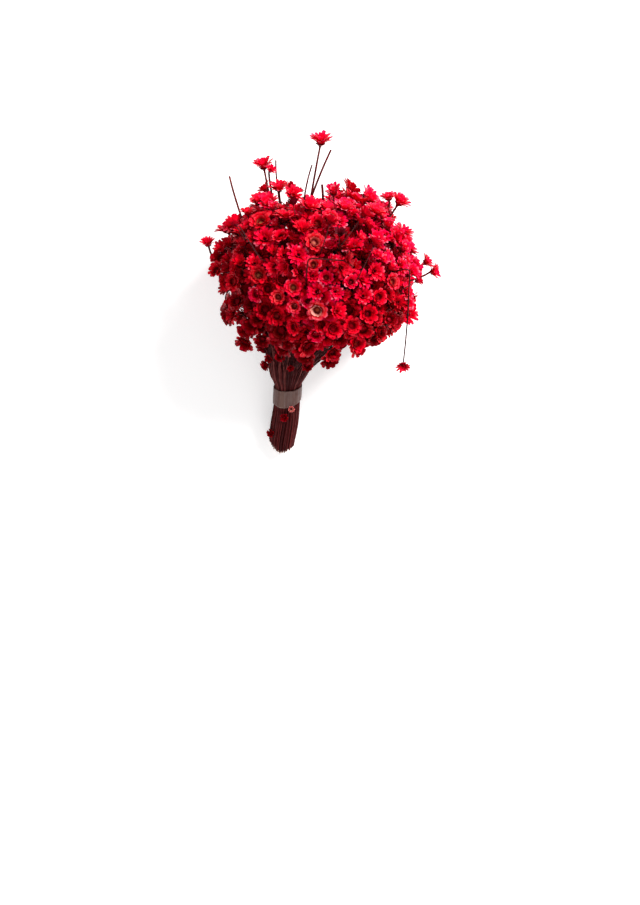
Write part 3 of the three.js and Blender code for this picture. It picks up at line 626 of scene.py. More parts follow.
def direction_to(p, inset=CORE_INSET):
    """The direction in which a point lies from the head's centre, and how far out it is, as a share."""
    away = p - HEAD_CENTRE
    spans = (away.dot(ACROSS), away.dot(TOWARDS), away.dot(AXIS))
    full = 1
    for _ in range(2):
        rough = [s / (half * full - inset) for s, half in zip(spans, (HEAD_WIDE, HEAD_DEEP, HEAD_TALL))]
        share = math.sqrt(sum(r * r for r in rough))
        d = tuple(r / share for r in rough)
        full = fullness_at(d)
    return d, share


def on_front(x, y):
    """The place on the front of the head, or beside it, that is seen at a position."""
    best = (math.inf, None)
    seen = Vector((x, y, HEAD_CENTRE.z))
    for height in FRONT_HEIGHTS:
        p = SEEN_FROM.lerp(seen, (SEEN_FROM.z - height) / (SEEN_FROM.z - HEAD_CENTRE.z))
        share = direction_to(p, 0)[1]
        if share < best[0]:
            best = (share, p)
        if best[0] <= 1:
            break
    return best[1]


def to_path(p, path):
    """How far a point is from a line of points."""
    least = math.inf
    for start, end in zip(path, path[1:]):
        span = end - start
        t = min(max((p - start).dot(span) / span.length_squared, 0), 1)
        least = min(least, (start + span * t - p).length)
    return least


def root_under(base):
    """Where a bloom's neck meets the middle of the head, kept off the edges of the slice that it roots in."""
    d, _ = direction_to(base)
    tall = HEAD_TALL * fullness_at(d) - CORE_INSET - ROOT_DEPTH
    below = [k for k, edge in enumerate(TIER_EDGES) if edge < tall * d[2]]
    if not below:
        return None, None
    tier = below[-1]
    top = TIER_EDGES[tier + 1] if tier + 1 < len(TIER_EDGES) else math.inf
    for room in NECK_ROOM:
        along = min(max(tall * d[2], TIER_EDGES[tier] + room) / tall, (top - room) / tall, 1)
        rest = math.sqrt((1 - along * along) / max(1 - d[2] * d[2], 1e-6))
        root = on_head((d[0] * rest, d[1] * rest, along), CORE_INSET + ROOT_DEPTH)
        if stays_in_slice(root, base, TIER_EDGES[tier], top):
            return root, tier
    return None, None


def stays_in_slice(root, base, low, high):
    neck = (root.lerp(base, share) for share in NECK_SHARES)
    return all(direction_to(p)[1] > CORE_REACH
               or low + EDGE_ROOM < (p - HEAD_CENTRE).dot(AXIS) < high - EDGE_ROOM for p in neck)


def based(bloom):
    """A bloom with the place of its foot, where its stem ends."""
    return bloom | {"base": bloom["centre"] - bloom["facing"] * (CUP_SHARE * bloom["radius"])}


def bloom_at(d, centre, jitter, radius, layer):
    facing = ACROSS * (d[0] / HEAD_WIDE) + TOWARDS * (d[1] / HEAD_DEEP) + AXIS * (d[2] / HEAD_TALL)
    facing = facing.normalized() + AXIS * UPWARD
    for way, share in zip((ACROSS, TOWARDS, AXIS), jitter):
        facing = facing + way * (2 * FACING_JITTER * share)
    facing.normalize()
    centre = centre.copy()
    lowest = centre.z - radius * math.sqrt(1 - min(facing.z * facing.z, 1))
    if lowest < -PRESSED:
        centre.z -= lowest + PRESSED
    return based({"centre": centre, "facing": facing, "radius": radius, "layer": layer, "way": d})


def is_clear(bloom, placed, strays, caught):
    centre, radius = bloom["centre"], bloom["radius"]
    overlap = LAYERS[bloom["layer"]][-1]
    if overlap:
        overlap = overlap[0] + (overlap[1] - overlap[0]) * spread_share(centre.y, *OVERLAP_HEIGHTS)
    for other in placed:
        touching = radius + other["radius"]
        near = touching + CLEAR if bloom["layer"] == other["layer"] else LAYER_OVERLAP * touching
        if (centre - other["centre"]).length < (overlap * touching if overlap else near):
            return False
    bloom["root"], bloom["tier"] = root_under(bloom["base"])
    if overlap:
        return all(to_path(centre, stray["path"][:-2]) > STRAY_IN_BLOOM * radius for stray in strays)
    return bloom["root"] is not None and necks_are_clear(bloom, placed, caught) and all(
        misses_stray(bloom, stray) for stray in strays)


def necks_are_clear(bloom, placed, caught):
    centre, radius = bloom["centre"], bloom["radius"]
    neck = (bloom["base"], bloom["root"])
    for other in placed + caught:
        if "root" in other and to_path(centre, (other["base"], other["root"])) < radius + NECK_HALF + CLEAR:
            return False
        if to_path(other["centre"], neck) < other["radius"] + NECK_HALF + CLEAR:
            return False
    return all((other["centre"] - centre).length >= other["radius"] + radius + CLEAR for other in caught)


def misses_stray(bloom, stray):
    centre, radius, path, thick = bloom["centre"], bloom["radius"], stray["path"], stray["thick"]
    if to_path(centre, path) < radius + thick + CLEAR:
        return False
    for share in NECK_STEPS:
        p = bloom["root"].lerp(bloom["base"], share)
        if to_path(p, path) < NECK_BY_STRAY * NECK_HALF + thick + CLEAR:
            return False
    return "radius" not in stray or (stray["centre"] - centre).length >= stray["radius"] + radius + CLEAR


def place_blooms(strays, caught):
    draw = draws_from(PLACING_SEED)
    placed = []
    for x, y, radius in SEEN:
        centre = on_front(x, y)
        jitter = [next(draw) - 0.5 for _ in range(3)]
        bloom = bloom_at(direction_to(centre, 0)[0], centre, jitter, radius, "outer")
        if is_clear(bloom, placed, strays, caught):
            placed.append(bloom | {"picked": True})
    for layer, (draws, depth, depth_spread, (big, small), widest, most, _) in LAYERS.items():
        count, lowest = 0, math.cos(widest)
        for k in range(draws):
            tilt = math.acos(lowest + (1 - lowest) * next(draw))
            turn = TURN * next(draw)
            inset = depth + depth_spread * (next(draw) - 0.5)
            jitter = [next(draw) - 0.5 for _ in range(3)]
            if count >= most:
                continue
            d = (math.sin(tilt) * math.cos(turn), math.sin(tilt) * math.sin(turn), math.cos(tilt))
            bloom = bloom_at(d, on_head(d, inset), jitter, big + (small - big) * k / draws, layer)
            if is_clear(bloom, placed, strays, caught):
                placed.append(bloom)
                count += 1
    return placed


# Stray stems
# Thin dry stems that stand out of the head beyond the other blooms, some bare, some with a bloom. Three are
# kinked: one hangs broken beside the head and two lie over its front.

# Each stray has its tip and its bend, or all points of a kinked one, then the point inside the head that it
# aims at. A half width follows for a bare one, or the radius and the facing of its bloom.
STRAYS = {
    "crown": (((1.5, 87, 99.5), (-4, 61, 92)), (-13, 7, 72), 8, (0.12, 0.82, 0.56)),
    "crown_bare": (((9.3, 84, 104), (-5, 55, 98)), (-16, 19, 78), 0.5),
    "crown_thin": (((-4.3, 75, 92), (-11, 57, 90)), (-14, 17, 78), 0.4),
    "top_left": (((-39, 72, 84), (-36.5, 58, 82)), (-28, 20, 70), 7.8, (-0.12, 0.8, 0.58)),
    "top_left_low": (((-35.4, 69.4, 94.7), (-35, 57, 89)), (-26, 19, 78), 4.4, (0.5, 0.5, 0.7)),
    "top_left_bare": (((-31, 81, 74), (-31.6, 63, 74)), (-23, 20, 64), 0.4),
    "top_middle": (((-28, 55, 92), (-27.5, 44, 90)), (-20, 9, 78), 7.4, (-0.05, 0.86, 0.5)),
    "top_middle_low": (((-19, 51, 96), (-20, 43, 94)), (-15, 8, 80), 6.6, (0.35, 0.5, 0.78)),
    "left_bare": (((-64, 67, 92), (-59, 44, 90)), (-40, -5, 76), 0.5),
    "left": (((-81, 18, 66), (-79, 1, 56)), (-36, -13, 54), 6.4, (-0.15, 0.8, 0.58)),
    "left_thin": (((-67, -26.5, 46), (-79.5, -14, 48)), (-42, 8, 60), 0.4),
    "top_right": (((57.5, 46.5, 88), (49.5, 33, 86)), (25, 7, 74), 7, (0.52, 0.72, 0.46)),
    "top_right_low": (((52.5, 50.5, 76), (52, 37, 76)), (28, 7, 66), 6.2, (-0.15, 0.88, 0.44)),
    "short_bare": (((2.8, 60, 100), (4.4, 49, 97)), (3, 13, 84), 0.6),
    "right": (((82, -1, 74), (70, -9, 74)), (31, -14, 68), 6.4, (0.9, 0.15, 0.4)),
    "right_high": (((78, 5.5, 64.5), (67, 3, 66)), (28, -3, 66), 6.6, (0.8, 0.55, 0.25)),
    "right_low": (((64, -33, 70), (56, -35, 70)), (25, -21, 66), 6.8, (0.6, 0.2, 0.77)),
    "broken": (((62.7, -67, 84), (63.4, -55, 94), (64.3, -34, 108), (64.6, -13, 117), (64.4, -2.5, 119),
                (59, -2, 117)), (35, -5, 74), 4.8, (-0.1, -0.86, -0.5)),
    "left_front": (((-55, 28, 119), (-47, 15.5, 131), (-39.5, 4, 138)), (-32, 5, 100), 0.4),
    "bent": (((17.5, 2.5, 142), (4, 3.4, 143), (-4.4, 4, 143), (-6.8, 2, 142.5), (-7.6, -4, 141)),
             (-9, -20, 112), 6, (0.93, 0.1, 0.35)),
}
STRAY_THICK = 0.5
ROOTED = 0.88
STRAY_STEPS = 6
BEND_STEP = 0.01
ROOT_STEP = 0.5


def stray_path(tip, bend, aim):
    def at(t):
        return tip * (1 - t) ** 2 + bend * (2 * t * (1 - t)) + aim * t * t

    end = 0
    while end < 1 and direction_to(at(end))[1] > ROOTED:
        end += BEND_STEP
    return [at(end * k / STRAY_STEPS) for k in range(STRAY_STEPS + 1)]


def kinked_path(points, aim):
    inward = (aim - points[-1]).normalized()
    root = points[-1].copy()
    while direction_to(root)[1] > ROOTED:
        root += inward * ROOT_STEP
    return [*points, points[-1].lerp(root, 0.5), root]


def laid_out(name, line, aim, size, facing=None):
    """A stray with its path from tip to root and, where it has one, the place of its bloom."""
    points, aim, kinked = [Vector(p) for p in line], Vector(aim), len(line) > 2
    path = kinked_path(points, aim) if kinked else stray_path(*points, aim)
    made = {"name": name, "path": path, "kinked": kinked, "thick": STRAY_THICK if facing else size}
    if facing:
        facing = Vector(facing).normalized()
        made |= {"radius": size, "facing": facing, "centre": path[0] + facing * (CLEAR + CUP_SHARE * size)}
    return made


strays = [laid_out(name, *stray) for name, stray in STRAYS.items()]

# Small blooms caught among the stems below the head, pulled off when the bunch was tied: radius, facing and
# how far out of the middle of its solid each one sits, as a share of its radius.
SEATED = 0.1
CAUGHT = {
    "wrap_edge": (3.2, (0.25, -0.3, 0.92), -0.15),
    "below_wrap": (3.7, (-0.15, -0.35, 0.92), SEATED),
    "flare_left": (5.2, (-0.9, -0.3, 0.25), 0.35),
    "flare_side": (4.4, (-0.6, -0.5, 0.62), SEATED),
    "flare_upper": (4.4, (-0.25, -0.5, 0.83), -0.4),
    "flare_front": (4.8, (-0.05, -0.55, 0.83), SEATED),
    "flare_right": (4.6, (0.3, -0.5, 0.8), SEATED),
    "low_left": (3.8, (-0.75, -0.25, 0.6), SEATED),
}


def caught_place(name, radius, facing, out):
    """The bloom in the middle of the space that its solid holds."""
    low, high = (Vector(corner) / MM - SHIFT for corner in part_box(f"caught_bloom_{name}"))
    facing = Vector(facing).normalized()
    centre = (low + high) / 2 + facing * (out * radius)
    return {"name": name, "facing": facing, "radius": radius, "centre": centre}


caught = [caught_place(name, *small) for name, small in CAUGHT.items()]
placed = place_blooms(strays, caught)

# The blooms of the head
# Each kind of bloom is set on the points of one slice of the head, turned to its facing and given its own
# tone: the dye's own spread with painted light and shade added to it. Blooms that stand out in one way or
# another are named by where they are seen.

NOTABLE = {
    "pale_rim": ((9.75, 39), (-18, -26.25), (-42, 5.25), (-1.5, 4.5), (56.25, -7.5), (-28.5, -18)),
    "tan_heart": ((-42.75, 39), (-45, -3), (-19.5, -12.75)),
    "cream_heart": ((-3, 23.25),),
    "cream_cup": ((-1.5, -29.25),),
    "bright": ((36.75, 41.25), (42, 45.75), (5.25, -1.5), (20.25, 50.25), (-1.5, -48), (-1.5, -29.25),
               (-49.5, -17.25), (-63.75, 34.5), (42.75, 24)),
    # The dark ones at (15, 29) and (15, 25) are painted shade, a dark hollow of the head.
    "dark": ((-39.75, 19.5), (-60, -18.75), (-45, -33), (-42, -51.75), (-23.25, -57), (-54.75, 24),
             (15, 29), (15, 25), (-18, 50.8)),
}
NOTABLE_REACH = 5.5
NOTABLE_ABOVE = 60
# How far the cup is bleached and how pale the heart is, in blooms of one look. They are of one kind.
LOOKS = {"pale_rim": (0.4, 0.25), "tan_heart": (0.15, 0.8), "cream_heart": (0.5, 0.7),
         "cream_cup": (0.85, 0.4)}
LOOK_KIND = 1
FACING_VIEWER = ("pale_rim", "tan_heart", "cream_heart")
PETAL_SWELL = 1.19
# Where blooms are left out or sit deeper: the middle as it is seen, and how far it reaches.
HOLLOWS = ((20, -8, 3),)
NOTCHES = ((-3, 66, 11), (-27, 55, 5.5), (-58, 48, 9), (-83, 10, 6), (-80, 33, 5))
GAPS = ((-27, 56, 7.5), (-49, 58, 6), (-12, 59, 7), (76, -10, 5), (60, 42, 5), (56, 38, 4), (4, 55, 5),
        (0, 55, 5), (-73, -18, 4.5), (-66, -44, 4), (-74, 29, 4.5), (-78, 12, 4.5), (22, -59, 4),
        (60, -42, 4))
SINKING = ("outer", "lower")
SUNK_SHARE = 0.76
ADDED = ((-40, -46, 52, 6.4), (-41, -58, 44, 6), (-17.6, 47.4, 95, 4.2), (26, 31, 88, 7),
         (39, 20.5, 85, 6.5), (46, -11.5, 84, 6), (-54, -27, 62, 6))
# Patches of painted light and shade on the head: the middle, how wide and by how much.
LIGHT_AND_SHADE_PATCHES = ((-2, -30, 22, 0.7), (46, 24, 34, 0.26), (68, 10, 24, 0.26), (42, -38, 18, -0.36),
                (-34, 34, 14, 0.1), (-42, -36, 18, -0.3), (0, -64, 14, -0.28))
# Painted shade by layer: the deeper layers are darker.
LAYER_SHADE = {"outer": 0.03, "lower": -0.08, "deep": -0.3}
LAYER_SWELL = {"lower": 1.12, "between": 1.12, "deep": 1.35}
TO_LIGHT = Vector((0.05, -0.1, 1)).normalized()
UPPER_PART = (-5, 35)
FRONT_PART = (5, 40)
LOW_TURN = 1.4
FACING_ENOUGH = 0.8
INNER_TURN = 0.3
NOTABLE_TURN = 0.8
UPPER_LEAN = 0.3
UPPER_SWELL = 0.16
SWAY = 0.75
UPPER_SWAY = 0.15
SPAN_ROOM = 1.05
CUP_RISE = 0.8
LIT_RIGHT = 0.7
LIT_UP = 1.3
HEAD_LONG = 85
LIT_SHARE = 0.42
LOW_PART = (28, -22)
ROUND_SHARES = (0.12, 0.8)
TONE_MIDDLE = 0.52
TONE_SPREAD = 0.6
RARE = 0.75
PALEST = 0.3
HEART_PALEST = 0.4
PLACE_VALUES = {"facing": "FLOAT_VECTOR", "spin": "FLOAT", "radius": "FLOAT", "kind": "INT"}


def is_seen_in(bloom, spots):
    """Whether a bloom is seen in one of some round spots, in the level plane through the head's centre."""
    centre = bloom["centre"]
    p = SEEN_FROM.lerp(centre, (SEEN_FROM.z - HEAD_CENTRE.z) / (SEEN_FROM.z - centre.z))
    return any(math.hypot(p.x - x, p.y - y) < reach for x, y, reach in spots)


def is_notable(bloom, way):
    return bloom["centre"].z > NOTABLE_ABOVE and is_seen_in(
        bloom, [(*spot, NOTABLE_REACH) for spot in NOTABLE[way]])


def is_hidden(bloom):
    """Deeper blooms keep out of the dark hollows that the front of the head has."""
    return bloom["layer"] == "between" and bloom["centre"].z > HEAD_CENTRE.z and is_seen_in(bloom, HOLLOWS)


def in_notch(bloom, notches):
    """The outline of the head has notches, where only the listed blooms stand."""
    return not bloom.get("picked") and is_seen_in(bloom, notches)


def sunk_in(bloom):
    """Blooms behind a notch of the outline sit deeper in the head, on shorter stems."""
    return based(bloom | {"centre": HEAD_CENTRE + (bloom["centre"] - HEAD_CENTRE) * SUNK_SHARE})


def turned_to_light(bloom, draw):
    """Blooms low on the front are turned to the viewer; those of the upper part lean more as they like."""
    centre = bloom["centre"]
    upper = spread_share(centre.y, *UPPER_PART)
    turn = (LOW_TURN * max(0.0, FACING_ENOUGH - bloom["facing"].z) * (1 - upper)
            * spread_share(centre.z, *FRONT_PART))
    if bloom["layer"] != "outer":
        turn *= INNER_TURN
    sway = Vector([next(draw) - 0.5 for _ in range(3)]) * (SWAY + UPPER_SWAY * upper)
    if any(is_notable(bloom, look) for look in FACING_VIEWER):
        turn = NOTABLE_TURN
    facing = (bloom["facing"] + TO_LIGHT * turn + AXIS * (UPPER_LEAN * upper) + sway).normalized()
    radius = bloom["radius"] * LAYER_SWELL.get(bloom["layer"], 1 + UPPER_SWELL * upper)
    span = SPAN_ROOM * PETAL_SWELL * radius
    floor_gap = max(span * math.sqrt(1 - min(facing.z * facing.z, 1)), CUP_RISE * span * facing.z)
    centre = Vector((centre.x, centre.y, max(centre.z, floor_gap)))
    return based(bloom | {"facing": facing, "radius": radius, "centre": centre})


def dressed(blooms, seed):
    """Gives each bloom its spin, kind and tones."""
    draw = draws_from(seed)
    for bloom in blooms:
        x, y, z = bloom["centre"]
        spin, pick, shape, tone, pale, heart = (next(draw) for _ in range(6))
        # Painted light and shade in the tone: lighter to the right and upwards, by layer, and in the patches;
        # a random share of the dye is added below.
        light = (LIT_RIGHT * x / HEAD_WIDE + LIT_UP * y / HEAD_LONG) * LIT_SHARE
        light += LAYER_SHADE.get(bloom.get("layer"), 0)
        light += sum(gain * math.exp(-((x - a) ** 2 + (y - b) ** 2) / (wide * wide))
                     for a, b, wide, gain in LIGHT_AND_SHADE_PATCHES)
        lowness = spread_share(y + 0.3 * (z - 60) + 0.2 * x, *LOW_PART)
        first = 0 if shape < ROUND_SHARES[0] + ROUND_SHARES[1] * lowness else ROUND_KINDS
        bloom |= {"spin": TURN * spin, "kind": first + int(ROUND_KINDS * pick),
                  "tone": TONE_MIDDLE + light + TONE_SPREAD * (tone - 0.5),
                  "pale": PALEST * max(pale - RARE, 0), "heart": HEART_PALEST * max(heart - RARE, 0)}
        if bloom.get("layer") == "outer":
            for look, (pale, heart) in LOOKS.items():
                if is_notable(bloom, look):
                    bloom |= {"pale": pale, "heart": heart, "kind": LOOK_KIND}
            if is_notable(bloom, "bright"):
                bloom["tone"] = 1.0
        if bloom.get("layer") and is_notable(bloom, "dark"):
            bloom["tone"] = 0.0
    return blooms


head_net, given = group_of("Geometry", "Blooms on their places", "Result", {
    "Places": "Geometry", "Kinds": "Collection", "Swell": 1.0, "Finish": "Material"})
net = head_net
facing, spin, radius, kind = (net.get("GeometryNodeInputNamedAttribute", {"Name": label}, data_type=sort)
                              for label, sort in PLACE_VALUES.items())
aimed = net.get("FunctionNodeAlignRotationToVector", {"Vector": facing}, axis="Z")
twirl = net.get("FunctionNodeAxisAngleToRotation", {"Axis": (0, 0, 1), "Angle": spin})
aimed = net.get("FunctionNodeRotateRotation", {"Rotation": aimed, "Rotate By": twirl}, rotation_space="LOCAL")
stock = net.get("GeometryNodeCollectionInfo", {
    "Collection": given["Kinds"], "Separate Children": True, "Reset Children": True})
blooms = net.get("GeometryNodeInstanceOnPoints", {
    "Points": given["Places"], "Instance": stock, "Pick Instance": True, "Instance Index": kind,
    "Rotation": aimed, "Scale": net.times(radius, given["Swell"])})
blooms = net.get("GeometryNodeRealizeInstances", {0: blooms})
for label in PLACE_VALUES:
    blooms = net.get("GeometryNodeRemoveAttribute", {"Geometry": blooms, "Name": label})
net.finished(blooms, given["Finish"])


def bloom_piece(name, blooms, swell, *nodes):
    mesh = made_of([in_frame(b["centre"]) for b in blooms], [], f"{name}_places")
    carry(mesh, "facing", [c for b in blooms for c in b["facing"]], "FLOAT_VECTOR")
    carry(mesh, "kind", [b["kind"] for b in blooms], "INT")
    for label in ("spin", "tone", "pale", "heart"):
        carry(mesh, label, [b[label] for b in blooms])
    carry(mesh, "radius", [b["radius"] * MM for b in blooms])
    piece = grow(name, mesh, head_net, {"Kinds": kinds, "Swell": swell, "Finish": bloom_finish})
    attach(piece, "root")
    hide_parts(*nodes)


for *spot, radius in ADDED:
    extra = bloom_at(direction_to(Vector(spot), 0)[0], Vector(spot), (0, 0, 0), radius, "lower")
    placed.append(extra | {"tier": root_under(extra["base"])[1], "picked": True})
draw = draws_from(52)
shown = [b for b in placed if not is_hidden(b)]
notched = [b for b in shown if in_notch(b, NOTCHES)]
placed = dressed([turned_to_light(b, draw) for b in shown if not in_notch(b, NOTCHES)], 41)
notched = dressed([turned_to_light(b, draw) for b in notched if b["layer"] in SINKING], 43)
notched += [b for b in placed if in_notch(b, GAPS) and b["layer"] in SINKING]
placed = [b for b in placed if not in_notch(b, GAPS)] + [sunk_in(b) for b in notched]
for tier in range(len(TIER_EDGES)):
    bloom_piece(f"head_blooms_{tier + 1}", [b for b in placed if (b["tier"] or 0) == tier], PETAL_SWELL,
                f"bloom_tier_{tier + 1}")

# Stems
# One thin dry stem for each bloom, cut unevenly at the bottom, pressed together under the tape and spread out
# above it. Stray stems are of the same kind. All are drawn as tapering tubes along their own paths.

STEM_HALF = 0.46
STEM_TIP_HALF = 0.32
STEM_SIDES = 5
# How far the stems fill each station of the bundle, and how far its lowest stations lie to the left.
BUNDLE_FILL = (1.03, 1.0, 0.98, 0.96, 0.96, 1.12, 1.12, 1.1, 1.05, 1.0)
BUNDLE_LEFT = (1.0, 0.8, 0.4)
CUT_RAGGED = 1.7
CUT_LEFT = 7.5
CUT_ROUND = 1.3
CUT_RIGHT = 3.6
CUT_LOW = 1.2
TWIST = 0.5
TIED_STATION = 4
PITH = 0.35
RING_OF_STEMS = 70
GOLDEN_TURN = 2.399963
LEAVING_TILTS = (1.5, 1.9, 2.2)
ONWARD = 0.34
ARRIVING = 0.36
BOW_STEPS = 6
FLOOR_ROOM = 0.1
GROOVE = -0.02
GROOVE_HALF = 0.07
GROOVE_SHADE = 0.25
STEM_DARK = dye(54, 10, 12)
STEM_MAROON = dye(94, 18, 20)
STEM_PALE = dye(134, 66, 62)
PITH_PALE = dye(206, 172, 158)


def tilt_of(bloom):
    return math.acos(max(-1, min(1, bloom["way"][2])))


def bundle_places(blooms):
    """Each bloom's place in the round of the bundle, on its own side. Those of the top are innermost."""
    order = sorted(blooms, key=tilt_of)
    pairs = []
    for start in range(0, len(order), RING_OF_STEMS):
        ring = sorted(order[start:start + RING_OF_STEMS], key=lambda b: math.atan2(b["way"][1], b["way"][0]))
        spots = []
        for k in range(start, start + len(ring)):
            out, turn = math.sqrt((k + 0.5) / len(order)), GOLDEN_TURN * k
            spots.append((out * math.cos(turn), out * math.sin(turn)))
        pairs += zip(ring, sorted(spots, key=lambda spot: math.atan2(spot[1], spot[0])))
    return pairs


def in_bundle(k, u, v, turned=0.0):
    """A point of the bundle at a station, from its share of the half widths."""
    centre, wide, deep = BUNDLE[k]
    before, after = Vector(BUNDLE[max(k - 1, 0)][0]), Vector(BUNDLE[min(k + 1, len(BUNDLE) - 1)][0])
    c, s = math.cos(turned), math.sin(turned)
    u, v = (u * c - v * s) * BUNDLE_FILL[k], (u * s + v * c) * BUNDLE_FILL[k]
    direction = (after - before).normalized()
    side = beside(direction)
    left = BUNDLE_LEFT[k] if k < len(BUNDLE_LEFT) else 0
    return Vector(centre) + side * (wide * u - left) + side.cross(direction) * (deep * v)


def bow(first, second, third, last, t):
    return (first * (1 - t) ** 3 + second * (3 * t * (1 - t) ** 2) + third * (3 * t * t * (1 - t))
            + last * t ** 3)


def stem_path(bloom, place, draw):
    """From the cut end, through the bundle and up to the foot of the bloom."""
    u, v = place
    leaves = len(BUNDLE) - 1 - sum(tilt_of(bloom) >= tilt for tilt in LEAVING_TILTS)
    turn = TWIST * (next(draw) - 0.5)
    points = [in_bundle(k, u, v, turn * max(0, 1 - k / TIED_STATION)) for k in range(leaves + 1)]
    back = (points[0] - points[1]).normalized()
    cut = (CUT_RAGGED * (next(draw) - 0.5) + CUT_LEFT * max(0, -u) ** CUT_ROUND + CUT_RIGHT * max(0, u)
           - CUT_LOW)
    points[0] = points[0] - back * cut
    points.insert(1, points[0] - back * PITH)
    start, foot = points[-1], bloom["base"]
    span = (foot - start).length
    lead = start + (start - points[-2]).normalized() * (ONWARD * span)
    arrive = foot - bloom["facing"] * (ARRIVING * span)
    points += [bow(start, lead, arrive, foot, t / BOW_STEPS) for t in range(1, BOW_STEPS + 1)]
    for p in points:
        p.z = max(p.z, STEM_HALF + FLOOR_ROOM)
    return points


def groove_shade(place):
    """Stems in the groove down the front of the bundle are darker: painted shade in the groove."""
    return GROOVE_SHADE if place[1] > 0 and abs(place[0] - GROOVE) < GROOVE_HALF else 1.0


stem_net, given = group_of("Geometry", "Stems along their paths", "Result", {
    "Paths": "Geometry", "Sides": 5, "Smooth": 2, "Finish": "Material"})
net = stem_net
lines = net.get("GeometryNodeMeshToCurve", {"Mesh": given["Paths"]})
lines = net.get("GeometryNodeCurveSplineType", {"Curve": lines}, spline_type="CATMULL_ROM")
lines = net.get("GeometryNodeSetSplineResolution", {"Geometry": lines, "Resolution": given["Smooth"]})
thick = net.get("GeometryNodeInputNamedAttribute", {"Name": "thick"}, data_type="FLOAT")
outline = net.get("GeometryNodeCurvePrimitiveCircle", {"Resolution": given["Sides"], "Radius": 1.0})
stems = net.get("GeometryNodeCurveToMesh", {"Curve": lines, "Profile Curve": outline, "Scale": thick,
                                            "Fill Caps": True})
net.finished(net.get("GeometryNodeRealizeInstances", {0: stems}), given["Finish"])


def stem_finish():
    material, net = blank_material("Dry flower stem")
    along, tone = net.own("along"), net.own("stem_tone")
    fibres = streaked(net, along, tone, tone, 9.0, 0.12)
    mottle = mottled(net, 210.0)
    fanned = net.spread(along, 42.0, 52.0, 0.25, 1.0)
    colour = net.layered(
        net.blend(net.spread(tone, 0.0, 0.8), STEM_DARK, STEM_MAROON),
        (net.times(net.spread(tone, 0.72, 0.95), fanned), STEM_PALE), (net.times(fibres, 0.4), STEM_DARK),
        (net.times(mottle, 0.3), STEM_DARK), (net.spread(along, 0.0, 0.3, 0.85, 0.0), PITH_PALE))
    net.surface(Base_Color=colour, Roughness=net.spread(mottle, 0.0, 1.0, 0.5, 0.7),
                Normal=net.bump(fibres, 0.5, 0.0001), Specular_IOR_Level=0.1)
    return material


stem_colour = stem_finish()


def stem_piece(name, stems, *nodes):
    """One mesh of many stems; each is its path, half width at both ends and tone."""
    points, edges, thick, along, tones = [], [], [], [], []
    for path, foot_half, tip_half, tone in stems:
        done = 0.0
        for k, p in enumerate(path):
            if k:
                edges.append((len(points) - 1, len(points)))
                done += (p - path[k - 1]).length
            points.append(in_frame(p))
            thick.append((foot_half + (tip_half - foot_half) * (k / (len(path) - 1))) * MM)
            along.append(done)
            tones.append(tone)
    mesh = made_of(points, [], f"{name}_paths", edges)
    for label, values in (("thick", thick), ("along", along), ("stem_tone", tones)):
        carry(mesh, label, values)
    piece = grow(name, mesh, stem_net, {"Sides": STEM_SIDES, "Smooth": 2, "Finish": stem_colour})
    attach(piece, "root")
    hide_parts(*nodes)


draw = draws_from(63)
stems = [(stem_path(bloom, place, draw), STEM_HALF, STEM_TIP_HALF, groove_shade(place) * next(draw))
         for bloom, place in bundle_places(placed)]
stem_piece("cut_stems", stems, "stem_bundle")

# The wrap
# A strip of frosted tape, wound once round the stems and lapped over itself underneath. It is pulled tight,
# so the stems show in it as faint ribs, and its edges are a little uneven.

TAPE_FILM = 0.28
LAP_LIFT = 0.04
TAPE_LAP = 0.9
LAP_STARTS = 1.1
LAP_RISE = 0.25
TAPE_STEPS = 200
TAPE_ROWS = 16
TAPE_RIB = 0.09
TAPE_FOLD = 0.08
TAPE_SAG = (0.2, 2.6)
TAPE_DROP = 1.25
TAPE_TIGHT = -0.15
TAPE_RAISED = 1.2
TAPE_GREIGE = dye(91, 56, 49)
# Darker colour of the stems showing through, also painted shade on the tape.
TAPE_STREAK_AND_SHADE = dye(78, 45, 40)
# Lighter colour of the tape's mottle, also its painted highlight.
TAPE_MOTTLE_AND_HIGHLIGHT = dye(120, 92, 82)
# Where a painted highlight lies across the tape, just left of the front, as an angle round the stems.
HIGHLIGHT_AT = 4.35


def tape_angle(step):
    return LAP_STARTS + (TURN + TAPE_LAP) * step / TAPE_STEPS


def tape_point(step, row, outer):
    angle = tape_angle(step)
    height = TAPE_HALF * (2 * row / TAPE_ROWS - 1)
    lapped = max(0.0, min(1.0, (angle - LAP_STARTS - TURN + LAP_RISE) / LAP_RISE))
    ribs = TAPE_RIB * (math.sin(21 * angle + 1.7 * math.sin(3 * angle))
                       + 0.6 * math.sin(34 * angle + height * 0.3))
    folds = (TAPE_FOLD * math.sin(1.4 * height + 2.2 * math.sin(2 * angle))
             * math.cos(5 * angle + 0.3 * height))
    front = max(0.0, -math.sin(angle)) ** 2
    leftward = (1 - math.cos(angle)) / 2
    edge = 0.15 * math.sin(7 * angle) + 0.1 * math.sin(13 * angle + 1)
    low = spread_share(-height, -TAPE_HALF, TAPE_HALF)
    height *= 1 + (TAPE_DROP - 1) * low * leftward
    edge -= front * (TAPE_SAG[0] + (TAPE_SAG[1] - TAPE_SAG[0]) * low)
    out = TAPE_TIGHT + lapped * (TAPE_FILM + LAP_LIFT) + (TAPE_FILM if outer else 0) + ribs + folds
    return on_tape(height + edge + TAPE_RAISED, angle, out)


